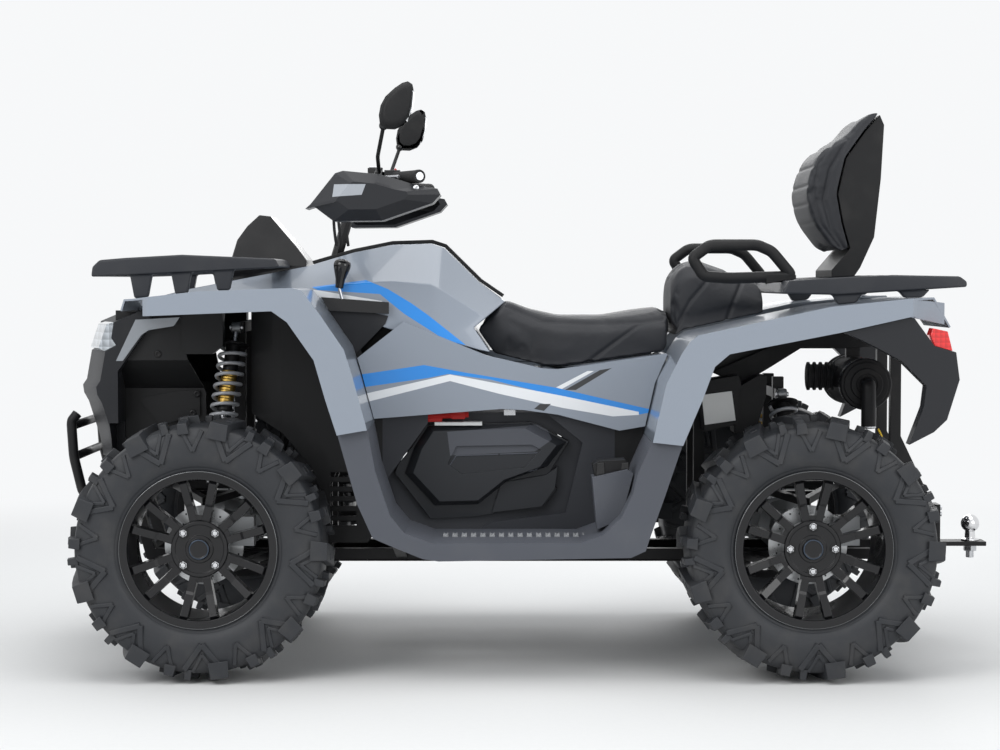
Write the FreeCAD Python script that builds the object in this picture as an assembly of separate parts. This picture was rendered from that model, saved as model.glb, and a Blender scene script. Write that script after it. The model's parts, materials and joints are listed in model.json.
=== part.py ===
import FreeCAD, Part
import math
import os

V = FreeCAD.Vector
UP = V(0, 0, 1)
ACROSS = V(0, 1, 0)

# Overall sizes in millimetres. +X points to the rear, +Y to the rider's right, +Z up, the floor is at zero
WHEELBASE = 1492.0
FRONT_AXLE_X = -820.0
OVERALL_WIDTH = 1210.0
BODY_RISE = 660.0

# Tyres
TYRE_RADIUS = 325.0
FRONT_TYRE_WIDTH = 226.0
REAR_TYRE_WIDTH = 262.0
LUG_HEIGHT = 14.0
LUG_PITCHES = 18
LUG_WIDTH_SHARE = 0.46
ROD_SIDES = 8
TUBE_SIDES = 6
HUB_FACETS = 12
BOOT_SIDES = 8

# Rims, hubs and brakes
SEAT_RADIUS = 178.0
LIP_RADIUS = 193.0
LIP_WIDTH = 9.0
RIM_WALL = 7.0
RIM_WIDTH_SHARE = 0.84
SPOKE_PAIRS = 6
SPOKE_WIDTH = 15.0
SPOKE_DEPTH = 22.0
SPOKE_SPREAD_DEG = 12.5
HUB_RADIUS = 70.0
HUB_DEPTH = 26.0
CAP_RADIUS = 25.6
CAP_HEIGHT = 14.0
SPOKE_SETBACK = 30.0
DISC_RADIUS = 98.0
DISC_THICKNESS = 5.0
DISC_INSET = 62.0
HUB_BARREL_RADIUS = 42.0
SPINDLE_RADIUS = 13.0

# Front suspension and steering geometry
KINGPIN_INSET = 197.0
KINGPIN_LEAN = 22.0
UPPER_BALL_RISE = 100.0
LOWER_BALL_DROP = 88.0
ARM_INNER_Y = 128.0
ARM_PIVOT_SPREAD = 120.0
ARM_TUBE = 13.0
ARM_SHARE = 0.7
ARM_BAR_SHARE = 0.58
BALL_RADIUS = 17.0
CALIPER_LENGTH = 90.0
CALIPER_WIDTH = 44.0
KNUCKLE_ARM = 104.0
EYE_RADIUS = 12.0
DAMPER_EYE_SHARE = 1.2
COLUMN_TOP_SHARE = 0.226542
COLUMN_TOP_Z = 1186.0
COLUMN_FOOT_SHARE = 0.071046
COLUMN_FOOT_Z = 392.0
COLUMN_RADIUS = 15.0
PITMAN_ARM = 86.0
PITMAN_HALF = 34.0
TIE_ROD_RADIUS = 7.0
DRIVE_HALF = 82.0
FRONT_DRIVE_RADIUS = 74.0
REAR_DRIVE_RADIUS = 74.0

# Springs and dampers
FRONT_DAMPER = ((50.0, 196.0, 856.0), (2.0, 292.0, 468.0))
REAR_DAMPER = ((-32.0, 196.0, 684.0), (-22.0, 288.0, 468.0))
COIL_RADIUS = 33.0
WIRE_HALF = 5.0
FRONT_COIL_TURNS = 11
REAR_COIL_TURNS = 7
COIL_SIDES = 6
DAMPER_RADIUS = 21.0
DAMPER_ROD_RADIUS = 8.0
PERCH_RADIUS = 40.0
PERCH_HEIGHT = 8.0

# Handlebar and hand guards
CLAMP_HALF = 22.0
BAR_RADIUS = 11.0
BAR_BEND = 60.0
BAR_SWEEP_SHARE = 0.127346
BAR_Z = 1236.0
BAR_RISE_START = 62.0
BAR_RISE_END = 150.0
GRIP_END_Y = 408.0
GRIP_LENGTH = 124.0
GRIP_RADIUS = 17.0
GUARD_INNER_Y = 300.0
GUARD_OUTER_Y = 440.0
GUARD_BEVEL = 26.0
GUARD_HOLLOW_SHARE = 0.88
MIRROR_Y = 455.0
MIRROR_HALF = 22.0
MIRROR_SHIFT_SHARE = 0.012
MIRROR_DROP_SHARE = 0.015
MIRROR_FOOT_SHARE = 0.284853
MIRROR_FOOT_Y = 285.0
MIRROR_FOOT_Z = 1246.0

# Frame
RAIL_HALF = 14.0
RAIL_Y = 105.0
LOWER_RAIL_Z = 260.0
UPPER_RAIL_Z = 446.0
UPPER_BEARING_Z = 850.0
FRAME_SHARES = (-0.150, 0.185, 0.84, 1.185, 1.25)
SEAT_RAIL_SHARES = ((0.245, 0.5942), (0.84, 0.6337))
FRONT_FOOT_SHARE = 0.10
NOSE_POST_SHARE = 0.62
RACK_POST_SHARE = 1.10
HITCH_SHARE = 0.06
BRACE_SHARE = 0.7
CROSS_SHARE = 0.9

OUTRIGGER_ENDS = ((0.3177, 0.0479), (0.6005, -0.0052))

# Half widths of the bodywork
FENDER_Y = 592.0
FENDER_BAND = 12.0
FRONT_FENDER_SHARES = (-0.14, 0.29)
REAR_FENDER_SHARES = (0.73, 1.24)
FRONT_CORNER = 90.0
REAR_CORNER = 125.0
PANEL_WALL = 5.0
PANEL_Y = 252.0
FOOTWELL_Y = 572.0
FOOTWELL_BAND = 52.0
SEAT_Y = 185.0
RACK_FRONT_Y = 430.0
RACK_REAR_Y = 455.0
NOSE_Y = 305.0

# Front end
NOSE_DEPTH = 46.0
NOSE_CORNER = 144.0
NOSE_SWEEP = 60.0
TYRE_SWEEP_SHARE = -0.174
TYRE_SWEEP_RISE_SHARE = 0.44
TYRE_SWEEP_Y = 200.0
LAMP_HALF = 46.0
BUMPER_RADIUS = 14.0
BUMPER_HALF = 215.0
BUMPER_BEND = 40.0

# Racks and grab handles
RACK_BAR = 26.0
RACK_SLATS = 5
GRAB_RADIUS = 14.5
GRAB_BEND = 34.0
GRAB_Y = 318.0

# Body and seats
SPINE_HALF = 70.0
SPINE_WALL = 9.0
POD_HALF = 104.0
LEVER_RADIUS = 5.0
KNOB_RADIUS = 26.0
SEAT_CROWN = 16.0
TANK_HALF = 200.0
PASSENGER_HALF = 172.0
BACKREST_HALF = 165.0
BACKREST_SHELL = 22.0
ENGINE_HALF = 190.0
COVER_DEPTH = 52.0
COVER_RIM_SHARE = 0.38
INNER_WALL = 8.0
SHROUD_NOSE_Y = 205.0
LINER_Y = 285.0
LINER_INNER_Y = 192.0
CANISTER_DEPTH = 38.0
LOUVRES = 6
LOUVRE_PITCH = 25.0
BOX_OUTER_Y = 545.0
BOX_INNER_Y = 400.0

# Rear end
SILENCER_RADIUS = 66.0
SILENCER_LENGTH = 330.0
TAIL_PIPE_RADIUS = 19.0
SILENCER_STEP = 7.0
DUCT_RADIUS = 37.0
DUCT_RIBS = 5
DUCT_HALF = 40.0
BALL_TOW_RADIUS = 25.0
TONGUE_THICKNESS = 12.0
TONGUE_HALF = 32.0
REAR_INNER_Y = 150.0
TAIL_RAIL_SHARE = 0.87
ENGINE_SPAN = (-330.0, 60.0, -190.0, 190.0, 274.3, 640.0)

# Fits
SEAT_GAP = 0.3
BUSH_GAP = 0.4
RUNNING_GAP = 6.0
OVERRUN = 5.0

FENDER_INNER_Y = PANEL_Y + SEAT_GAP
REAR_AXLE_X = FRONT_AXLE_X + WHEELBASE
KINGPIN_Y = OVERALL_WIDTH / 2 - KINGPIN_INSET
COLUMN_TOP_X = FRONT_AXLE_X + COLUMN_TOP_SHARE * WHEELBASE
COLUMN_FOOT_X = FRONT_AXLE_X + COLUMN_FOOT_SHARE * WHEELBASE
BAR_SWEEP = BAR_SWEEP_SHARE * WHEELBASE
MIRROR_FOOT_X = FRONT_AXLE_X + MIRROR_FOOT_SHARE * WHEELBASE
AXLE_HEIGHT = TYRE_RADIUS
FRONT_WHEEL_Y = OVERALL_WIDTH / 2 - FRONT_TYRE_WIDTH / 2
REAR_WHEEL_Y = OVERALL_WIDTH / 2 - REAR_TYRE_WIDTH / 2
LEFT, RIGHT = -1, 1


def at(shares, y=0.0):
    """Point of an outline: shares of the wheelbase behind the front axle and of the body rise above it."""
    along, up = shares
    return V(FRONT_AXLE_X + along * WHEELBASE, y, AXLE_HEIGHT + up * BODY_RISE)


def polygon_face(points):
    return Part.Face(Part.makePolygon(list(points) + [points[0]]))


def is_flat(quad):
    """True where the fourth corner lies in the plane of the other three."""
    normal = (quad[1] - quad[0]).cross(quad[2] - quad[0])
    if normal.Length == 0:
        return False
    return abs((quad[3] - quad[0]).dot(normal)) < normal.Length / max(WHEELBASE, 1) ** 2


def skin(rings):
    """Closed faceted solid through rings of points, flat quads kept whole and twisted ones split."""
    faces = [polygon_face(rings[0]), polygon_face(rings[-1])]
    for first, second in zip(rings, rings[1:]):
        for i in range(len(first)):
            j = (i + 1) % len(first)
            quad = (first[i], first[j], second[j], second[i])
            if is_flat(quad):
                faces.append(polygon_face(quad))
            else:
                faces.append(polygon_face(quad[:3]))
                faces.append(polygon_face((quad[0], quad[2], quad[3])))
    solid = Part.Solid(Part.Shell(faces))
    if solid.Volume < 0:
        solid.reverse()
    return solid


def slab(shares, y_from, y_to):
    """Prism of a side outline in shares, between two distances from the centre plane."""
    face = polygon_face([at(pair, y_from) for pair in shares])
    return face.extrude(ACROSS * (y_to - y_from))


def plan_prism(points, z_from, z_to):
    """Prism of a plan outline of X and Y values between two heights."""
    face = polygon_face([V(x, y, z_from) for x, y in points])
    return face.extrude(UP * (z_to - z_from))


def block(x_from, x_to, y_from, y_to, z_from, z_to):
    return Part.makeBox(x_to - x_from, y_to - y_from, z_to - z_from, V(x_from, y_from, z_from))


def ring_about(centre, way, radius, sides, turn_share=0.0):
    """Corners of a regular polygon about a point, square to a unit way, turned by a share of a facet."""
    side = way.cross(ACROSS)
    if side.Length < 1 / sides:
        side = way.cross(UP)
    side.normalize()
    other = way.cross(side).normalize()
    turns = [2 * math.pi * (i + turn_share) / sides for i in range(sides)]
    return [centre + side * (radius * math.cos(turn)) + other * (radius * math.sin(turn)) for turn in turns]


def rod(start, end, radius, sides=ROD_SIDES):
    """Straight bar whose flat-sided section lies inside a radius."""
    way = (end - start).normalize()
    return polygon_face(ring_about(start, way, radius, sides)).extrude(end - start)


def bore(start, end, radius, sides=ROD_SIDES):
    """Straight bar whose flats clear a radius, turned so that they face a bar's corners, to cut a hole with."""
    way = (end - start).normalize()
    ring = ring_about(start, way, radius / math.cos(math.pi / sides), sides, 0.5)
    return polygon_face(ring).extrude(end - start)


def ngon_ring(points, count, turn=0.0):
    """Flat-sided ring about the Y axis through the origin: profile points of radius and Y, count sides."""
    rings = []
    for i in range(count):
        angle = 2 * math.pi * (i + turn) / count
        rings.append([V(r * math.cos(angle), y, r * math.sin(angle)) for r, y in points])
    faces = []
    for i, first in enumerate(rings):
        second = rings[(i + 1) % count]
        for a in range(len(points)):
            b = (a + 1) % len(points)
            if points[a][0] == 0 and points[b][0] == 0:
                continue
            quad = [first[a], first[b], second[b], second[a]]
            if points[a][0] == 0:
                quad.pop(3)
            elif points[b][0] == 0:
                quad.pop(2)
            faces.append(polygon_face(quad))
    solid = Part.Solid(Part.Shell(faces))
    if solid.Volume < 0:
        solid.reverse()
    return solid


def beam(points, half):
    """Square tube, filled, mitred at each point of its path."""
    run = points[1] - points[0]
    side = run.cross(ACROSS)
    if side.Length < run.Length / 10:
        side = run.cross(UP)
    side.normalize()
    other = run.cross(side)
    other.normalize()
    signs = ((1, 1), (1, -1), (-1, -1), (-1, 1))
    corners = [points[0] + side * a * half + other * b * half for a, b in signs]
    profile = Part.makePolygon(corners + [corners[0]])
    return Part.Wire(Part.makePolygon(points)).makePipeShell([profile], True, False, 1)


def eased(points, radius, steps):
    """Path with each corner replaced by points of a tangent arc."""
    path = [points[0]]
    for before, corner, after in zip(points, points[1:], points[2:]):
        inward = (before - corner).normalize()
        outward = (after - corner).normalize()
        half = math.acos(max(-1, min(1, inward.dot(outward)))) / 2
        centre = corner + (inward + outward).normalize() * (radius / math.sin(half))
        start = corner + inward * (radius / math.tan(half)) - centre
        end = corner + outward * (radius / math.tan(half)) - centre
        turn = math.pi - 2 * half
        for i in range(steps + 1):
            share = turn * i / steps
            point = (start * math.sin(turn - share) + end * math.sin(share)) * (1 / math.sin(turn))
            path.append(centre + point)
    path.append(points[-1])
    return path


def tube(points, radius, sides=TUBE_SIDES):
    """Tube, filled, of a flat-sided section mitred at each point of its path."""
    ways = [(b - a).normalize() for a, b in zip(points, points[1:])]
    rings = [ring_about(points[0], ways[0], radius, sides)]
    for i, way in enumerate(ways):
        follow = ways[min(i + 1, len(ways) - 1)]
        mitre = way + follow
        target = points[i + 1]
        rings.append([p + way * ((target - p).dot(mitre) / way.dot(mitre)) for p in rings[-1]])
    return skin(rings)


def bent_tube(points, radius, bend, steps=1):
    """Tube along straight runs and tangent arcs."""
    return tube(eased(points, bend, steps), radius)


def fused(shapes):
    """One solid out of touching ones."""
    shapes = list(shapes)
    return shapes[0].multiFuse(shapes[1:]).removeSplitter()


def mirrored(shape):
    return shape.mirror(V(0, 0, 0), ACROSS)


def both_sides(shape):
    """A left-hand solid and its right-hand mirror image."""
    return [shape, mirrored(shape)]


def save(node, shapes):
    """One STEP file for a node, its shapes kept as separate solids."""
    solids = [solid for shape in shapes for solid in shape.Solids]
    body = solids[0] if len(solids) == 1 else Part.makeCompound(solids)
    body.exportStep(os.path.join("parts", node + ".step"))


def tyre(width):
    """Tyre about the Y axis at the origin, outer side towards -Y: flat-sided carcass and staggered lugs."""
    half = width / 2
    bead = half * RIM_WIDTH_SHARE - LIP_WIDTH
    base = TYRE_RADIUS - LUG_HEIGHT
    wall_share, shoulder_share = 0.5, 0.92
    depth = base - SEAT_RADIUS
    profile = [(SEAT_RADIUS, -bead), (LIP_RADIUS, -bead), (SEAT_RADIUS + depth * wall_share, -half),
               (SEAT_RADIUS + depth * shoulder_share, -half * shoulder_share), (base, -half * wall_share)]
    profile += [(r, -y) for r, y in reversed(profile)]
    carcass = ngon_ring(profile, LUG_PITCHES)
    pitch = 2 * math.pi / LUG_PITCHES
    flat_share = math.cos(pitch / 2)
    lug_width = pitch * TYRE_RADIUS * LUG_WIDTH_SHARE
    foot = base * flat_share - LUG_HEIGHT / 4
    skew, back, over_share, fall_share = 0.45, 0.2, 0.25, 0.6
    corner = lug_width * (0.5 + back + skew * over_share)
    tip = math.sqrt(TYRE_RADIUS ** 2 - corner ** 2)
    shift = math.atan2(corner, tip)
    low = SEAT_RADIUS + depth * (wall_share + shoulder_share) / 2
    lugs = []
    for i in range(LUG_PITCHES):
        side = LEFT if i % 2 else RIGHT
        section = [(foot, -side * half * over_share), (tip, -side * half * over_share),
                   (tip - LUG_HEIGHT * fall_share, side * half), (low, side * half)]
        rings = []
        for edge in (-0.5, 0.5):
            rings.append([V(r, y, lug_width * (edge + side * y * skew / half - back)) for r, y in section])
        lug = skin(rings)
        lug.rotate(V(0, 0, 0), ACROSS, -math.degrees(pitch * (i + 0.5) + shift))
        lugs.append(lug)
    return carcass.multiFuse(lugs)


def rim(width):
    """Alloy rim about the Y axis at the origin, outer side towards -Y, with forked spoke pairs."""
    half = width / 2 * RIM_WIDTH_SHARE
    bead = half - LIP_WIDTH
    inner = SEAT_RADIUS - RIM_WALL
    profile = [(inner, -half), (LIP_RADIUS, -half), (LIP_RADIUS, -bead), (SEAT_RADIUS, -bead)]
    barrel = ngon_ring(profile + [(r, -y) for r, y in reversed(profile)], LUG_PITCHES)
    face = -half + SPOKE_SETBACK
    hub = ngon_ring([(0, face - CAP_HEIGHT), (CAP_RADIUS, face - CAP_HEIGHT), (CAP_RADIUS, face),
                     (HUB_RADIUS, face), (HUB_RADIUS, face + HUB_DEPTH), (0, face + HUB_DEPTH)], HUB_FACETS)
    spokes = []
    for pair in range(SPOKE_PAIRS):
        for side in (LEFT, RIGHT):
            spoke = spoke_bar(face, half, inner)
            turn = 360 / SPOKE_PAIRS * pair + side * SPOKE_SPREAD_DEG
            spoke.rotate(V(0, 0, 0), ACROSS, turn)
            spokes.append(spoke)
    return barrel.multiFuse([hub] + spokes)


def spoke_bar(face, half, inner):
    """One tapered spoke along +Z from the hub to the barrel, with a break in its face."""
    root_share, break_share = 0.6, 0.62
    stations = [(HUB_RADIUS * root_share, face + LIP_WIDTH, HUB_DEPTH - LIP_WIDTH, SPOKE_WIDTH * root_share),
                (inner * break_share, face, SPOKE_DEPTH, SPOKE_WIDTH * break_share),
                (inner + RIM_WALL / 4, -half + LIP_WIDTH, SPOKE_DEPTH, SPOKE_WIDTH / 2)]
    rings = []
    for radius, front, depth, wide in stations:
        back = front + depth
        rings.append([V(-wide, front, radius), V(wide, front, radius),
                      V(wide, back, radius), V(-wide, back, radius)])
    return skin(rings)


def hub_and_disc(width):
    """Wheel hub with its brake disc about the Y axis, seated against the back of the rim's centre."""
    back = -width / 2 * RIM_WIDTH_SHARE + SPOKE_SETBACK + HUB_DEPTH + SEAT_GAP
    disc = back + DISC_INSET
    hole = (SPINDLE_RADIUS + BUSH_GAP) / math.cos(math.pi / HUB_FACETS)
    profile = [(hole, back), (HUB_RADIUS * 0.9, back), (HUB_RADIUS * 0.9, back + HUB_DEPTH / 2),
               (HUB_BARREL_RADIUS, back + HUB_DEPTH / 2), (HUB_BARREL_RADIUS, disc), (DISC_RADIUS, disc),
               (DISC_RADIUS, disc + DISC_THICKNESS), (hole, disc + DISC_THICKNESS)]
    return ngon_ring(profile, HUB_FACETS)


def wheels():
    """The four wheels: tyre, rim and hub with disc, each side mirrored."""
    for place, width, x, y in (("front", FRONT_TYRE_WIDTH, FRONT_AXLE_X, FRONT_WHEEL_Y),
                               ("rear", REAR_TYRE_WIDTH, REAR_AXLE_X, REAR_WHEEL_Y)):
        for name, shape in (("tyre", tyre(width)), ("rim", rim(width)), ("hub", hub_and_disc(width))):
            left = shape.copy()
            left.translate(V(x, -y, AXLE_HEIGHT))
            save(name + "_" + place + "_left", [left])
            save(name + "_" + place + "_right", [mirrored(left)])


def ribbon(points, wall):
    """Closed outline of a wall along an open line of points, on its left seen from -Y."""
    back = []
    for i, point in enumerate(points):
        ways = []
        if i > 0:
            ways.append((point - points[i - 1]).normalize())
        if i < len(points) - 1:
            ways.append((points[i + 1] - point).normalize())
        normals = [V(-way.z, 0, way.x) for way in ways]
        normal = sum(normals[1:], normals[0]).normalize()
        back.append(point + normal * (wall / normal.dot(normals[0])))
    return points + back[::-1]


def bent_sheet(shares, wall, y_from, y_to):
    """Sheet of one thickness along a side line in shares, between two distances from the middle."""
    outline = ribbon([at(pair, y_from) for pair in shares], wall)
    return polygon_face(outline).extrude(ACROSS * (y_to - y_from))


# Suspension

def wishbone(pivot, ball, spread, housing_turn):
    """V-shaped arm from its pivot tube to the ball housing, with a bar that carries the damper."""
    half = ARM_TUBE * ARM_SHARE
    reach = (ball - pivot).Length
    away = (ball - pivot).normalize()
    along = V(1, 0, 0)
    lift = along.cross(away)
    leg = math.hypot(spread, reach)
    lean = half * leg / reach

    def edge(offset, t):
        """Distance from the arm's middle to a line beside the leg, at a height t along the arm."""
        return spread * (1 - t / reach) + offset

    def face(points):
        return polygon_face([pivot + along * s + away * t - lift * half for s, t in points])

    def symmetric(right):
        return right + [(-s, t) for s, t in reversed(right)]

    border = symmetric([(spread + ARM_TUBE, -half), (spread + ARM_TUBE, half), (edge(lean, half), half),
                         (edge(lean, reach), reach)])
    bar = reach * ARM_BAR_SHARE
    window = symmetric([(edge(-lean, half), half), (edge(-lean, bar - half), bar - half)])
    notch_end = reach * (1 - lean / spread)
    notch = [(edge(-lean, bar + half), bar + half), (0, notch_end), (-edge(-lean, bar + half), bar + half)]
    plate = face(border).cut(face(window)).cut(face(notch)).extrude(lift * (2 * half))
    housing = rod(ball - housing_turn * half, ball + housing_turn * half, BALL_RADIUS)
    return fused([plate, housing])


def kingpin(axle_x, kingpin_y):
    """Upper and lower ball centres of a left-hand corner, and the unit axis between them."""
    upper = V(axle_x, -kingpin_y + KINGPIN_LEAN / 2, AXLE_HEIGHT + UPPER_BALL_RISE)
    lower = V(axle_x, -kingpin_y - KINGPIN_LEAN / 2, AXLE_HEIGHT - LOWER_BALL_DROP)
    return upper, lower, (upper - lower).normalize()


def corner_arms(axle_x, kingpin_y):
    """Upper and lower wishbone of a left-hand corner, each bored for the knuckle's pin."""
    upper, lower, axis = kingpin(axle_x, kingpin_y)
    reach = axis * UPPER_BALL_RISE
    arms = []
    for ball, rail_z in ((upper, UPPER_RAIL_Z), (lower, LOWER_RAIL_Z)):
        pivot = V(axle_x, -ARM_INNER_Y - 3 * SEAT_GAP, rail_z)
        arm = wishbone(pivot, ball, ARM_PIVOT_SPREAD, axis)
        inward = axis * (ARM_TUBE * ARM_SHARE) * (-1 if ball is upper else 1)
        room = bore(ball + inward, ball + inward * 4, BALL_RADIUS + SEAT_GAP * 5)
        arms.append(arm.cut(bore(ball - reach, ball + reach, EYE_RADIUS * 0.7 + BUSH_GAP)).cut(room))
    return arms


def upright(axle_x, kingpin_y, wheel_y, width):
    """Left-hand knuckle: post between the arms with pins through them, spindle and brake caliper."""
    upper, lower, axis = kingpin(axle_x, kingpin_y)
    half = ARM_TUBE * ARM_SHARE + SEAT_GAP
    post = rod(lower + axis * half, upper - axis * half, BALL_RADIUS)
    pins = rod(lower - axis * half, upper + axis * half, EYE_RADIUS * 0.7)
    back = -wheel_y - width / 2 * RIM_WIDTH_SHARE + SPOKE_SETBACK + HUB_DEPTH + SEAT_GAP
    centre = V(axle_x, -kingpin_y, AXLE_HEIGHT)
    spindle = rod(centre, V(axle_x, back + OVERRUN, AXLE_HEIGHT), SPINDLE_RADIUS)
    disc_y = back + DISC_INSET
    outside = disc_y - RUNNING_GAP - CALIPER_WIDTH / 3
    inside = disc_y + DISC_THICKNESS + RUNNING_GAP + CALIPER_WIDTH / 3
    near, far = DISC_RADIUS * 0.62, DISC_RADIUS * 1.28
    caliper = block(axle_x + near, axle_x + far, outside, inside,
                    AXLE_HEIGHT, AXLE_HEIGHT + CALIPER_LENGTH * 0.8)
    slot = bore(V(axle_x, disc_y - RUNNING_GAP, AXLE_HEIGHT),
                V(axle_x, disc_y + DISC_THICKNESS + RUNNING_GAP, AXLE_HEIGHT), DISC_RADIUS + RUNNING_GAP)
    bracket = beam([V(axle_x, -kingpin_y, AXLE_HEIGHT + CALIPER_LENGTH * 0.3),
                    V(axle_x + (near + far) / 2, inside - RUNNING_GAP, AXLE_HEIGHT + CALIPER_LENGTH * 0.3)],
                   ARM_TUBE * 0.8)
    return [post, pins, spindle, caliper.cut(slot), bracket.cut(slot)]


def steering_arm_eye():
    """Centre of the left-hand knuckle arm's eye, behind the kingpin."""
    return V(FRONT_AXLE_X + KNUCKLE_ARM, -KINGPIN_Y + EYE_RADIUS, AXLE_HEIGHT + EYE_RADIUS * 2)


def front_knuckle():
    parts = upright(FRONT_AXLE_X, KINGPIN_Y, FRONT_WHEEL_Y, FRONT_TYRE_WIDTH)
    eye = steering_arm_eye()
    arm = beam([V(FRONT_AXLE_X, -KINGPIN_Y, eye.z), eye], EYE_RADIUS * 0.6)
    boss = rod(eye - UP * (EYE_RADIUS * 0.6), eye + UP * (EYE_RADIUS * 0.6), EYE_RADIUS)
    return fused(parts + [arm, boss])


def half_shaft(axle_x, unit_half, kingpin_y):
    """Left-hand drive shaft with its two tapered boots, from the drive unit to beside the knuckle."""
    inner = -unit_half - SEAT_GAP
    outer = -kingpin_y + BALL_RADIUS * 1.5 + RUNNING_GAP
    boot = BALL_RADIUS * 1.9
    neck = SPINDLE_RADIUS
    length = inner - outer
    stations = ((0, boot), (0.09, boot), (0.2, neck), (0.76, neck), (0.9, boot), (1, boot))
    rings = []
    for share, radius in stations:
        y = inner - length * share
        rings.append(ring_about(V(axle_x, y, AXLE_HEIGHT), ACROSS, radius, BOOT_SIDES))
    return skin(rings)


def drive_unit(axle_x, half, radius, shaft_way):
    """Differential housing: flat-sided drum across the vehicle with a nose for the propeller shaft."""
    drum = ngon_ring([(0, -half), (radius * 0.55, -half), (radius * 0.62, -half * 0.6),
                      (radius, -half * 0.45), (radius, half * 0.45), (radius * 0.62, half * 0.6),
                      (radius * 0.55, half), (0, half)], HUB_FACETS)
    drum.translate(V(axle_x, 0, AXLE_HEIGHT))
    nose = block(min(0, shaft_way) * radius * 1.7 + axle_x, max(0, shaft_way) * radius * 1.7 + axle_x,
                 -radius * 0.4, radius * 0.4, AXLE_HEIGHT - radius * 0.4, AXLE_HEIGHT + radius * 0.4)
    seat = LOWER_RAIL_Z + RAIL_HALF + SEAT_GAP
    foot = block(axle_x - radius * 0.3, axle_x + radius * 0.3, -RAIL_Y, RAIL_Y, seat, seat + RAIL_HALF)
    return fused([drum, nose, foot])


def damper(top, bottom):
    """Damper body, rod, two spring perches and an eye at each end."""
    way = (top - bottom)
    length = way.Length
    way.normalize()
    low, high = bottom + way * length * 0.13, bottom + way * length * 0.88
    body = rod(bottom + way * length * 0.45, high, DAMPER_RADIUS)
    piston = rod(bottom, top, DAMPER_ROD_RADIUS)
    rise = way * PERCH_HEIGHT
    perches = [rod(low - rise, low, PERCH_RADIUS), rod(high, high + rise, PERCH_RADIUS)]
    along = V(EYE_RADIUS, 0, 0)
    eyes = [rod(point - along, point + along, EYE_RADIUS * DAMPER_EYE_SHARE) for point in (top, bottom)]
    return fused([body, piston] + perches + eyes)


def coil(top, bottom, turns):
    """Coil spring of three-sided wire round the damper, seated between the perches."""
    way = (top - bottom)
    length = way.Length
    way.normalize()
    side = way.cross(ACROSS).normalize()
    other = way.cross(side).normalize()
    start = bottom + way * (length * 0.13 + WIRE_HALF + SEAT_GAP)
    climb = length * (0.88 - 0.13) - 2 * (WIRE_HALF + SEAT_GAP)
    steps = turns * COIL_SIDES
    rings = []
    for i in range(steps + 1):
        angle = 2 * math.pi * i / COIL_SIDES
        out = side * math.cos(angle) + other * math.sin(angle)
        centre = start + way * (climb * i / steps) + out * COIL_RADIUS
        rings.append([centre + out * a * WIRE_HALF + way * b * WIRE_HALF
                      for a, b in ((0.8, 0), (-0.5, -1), (-0.5, 1))])
    return skin(rings)


def damper_ends(axle_x, places):
    """Top and bottom eye of a left-hand damper, from their places behind the axle, off the middle and up."""
    return [V(axle_x + behind, -off, up) for behind, off, up in places]


def suspension():
    """Arms, rear knuckles, half shafts, drive units, dampers and springs, left and right."""
    front = corner_arms(FRONT_AXLE_X, KINGPIN_Y)
    rear = corner_arms(REAR_AXLE_X, KINGPIN_Y)
    save("front_arms", both_sides(front[0]) + both_sides(front[1]))
    save("rear_arms", both_sides(rear[0]) + both_sides(rear[1]))
    save("rear_knuckles", both_sides(fused(upright(REAR_AXLE_X, KINGPIN_Y, REAR_WHEEL_Y, REAR_TYRE_WIDTH))))
    save("half_shafts", both_sides(half_shaft(FRONT_AXLE_X, DRIVE_HALF, KINGPIN_Y))
         + both_sides(half_shaft(REAR_AXLE_X, DRIVE_HALF, KINGPIN_Y)))
    save("drive_units", [drive_unit(FRONT_AXLE_X, DRIVE_HALF, FRONT_DRIVE_RADIUS, 1),
                         drive_unit(REAR_AXLE_X, DRIVE_HALF, REAR_DRIVE_RADIUS, -1)])
    ends = (damper_ends(FRONT_AXLE_X, FRONT_DAMPER), damper_ends(REAR_AXLE_X, REAR_DAMPER))
    save("dampers", [shape for pair in ends for shape in both_sides(damper(*pair))])
    coils = [coil(*pair, turns) for pair, turns in zip(ends, (FRONT_COIL_TURNS, REAR_COIL_TURNS))]
    save("springs", [shape for spring in coils for shape in both_sides(spring)])


# Steering

def column_point(z):
    """Point of the steering axis at a height."""
    share = (z - COLUMN_FOOT_Z) / (COLUMN_TOP_Z - COLUMN_FOOT_Z)
    return V(COLUMN_FOOT_X + (COLUMN_TOP_X - COLUMN_FOOT_X) * share, 0, z)


def column_way():
    return (column_point(COLUMN_TOP_Z) - column_point(COLUMN_FOOT_Z)).normalize()


def pitman_eye():
    """Centre of the left-hand eye on the pitman arm at the foot of the column."""
    back = column_way().cross(ACROSS) * -1
    return column_point(COLUMN_FOOT_Z) + back * PITMAN_ARM - ACROSS * PITMAN_HALF


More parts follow.
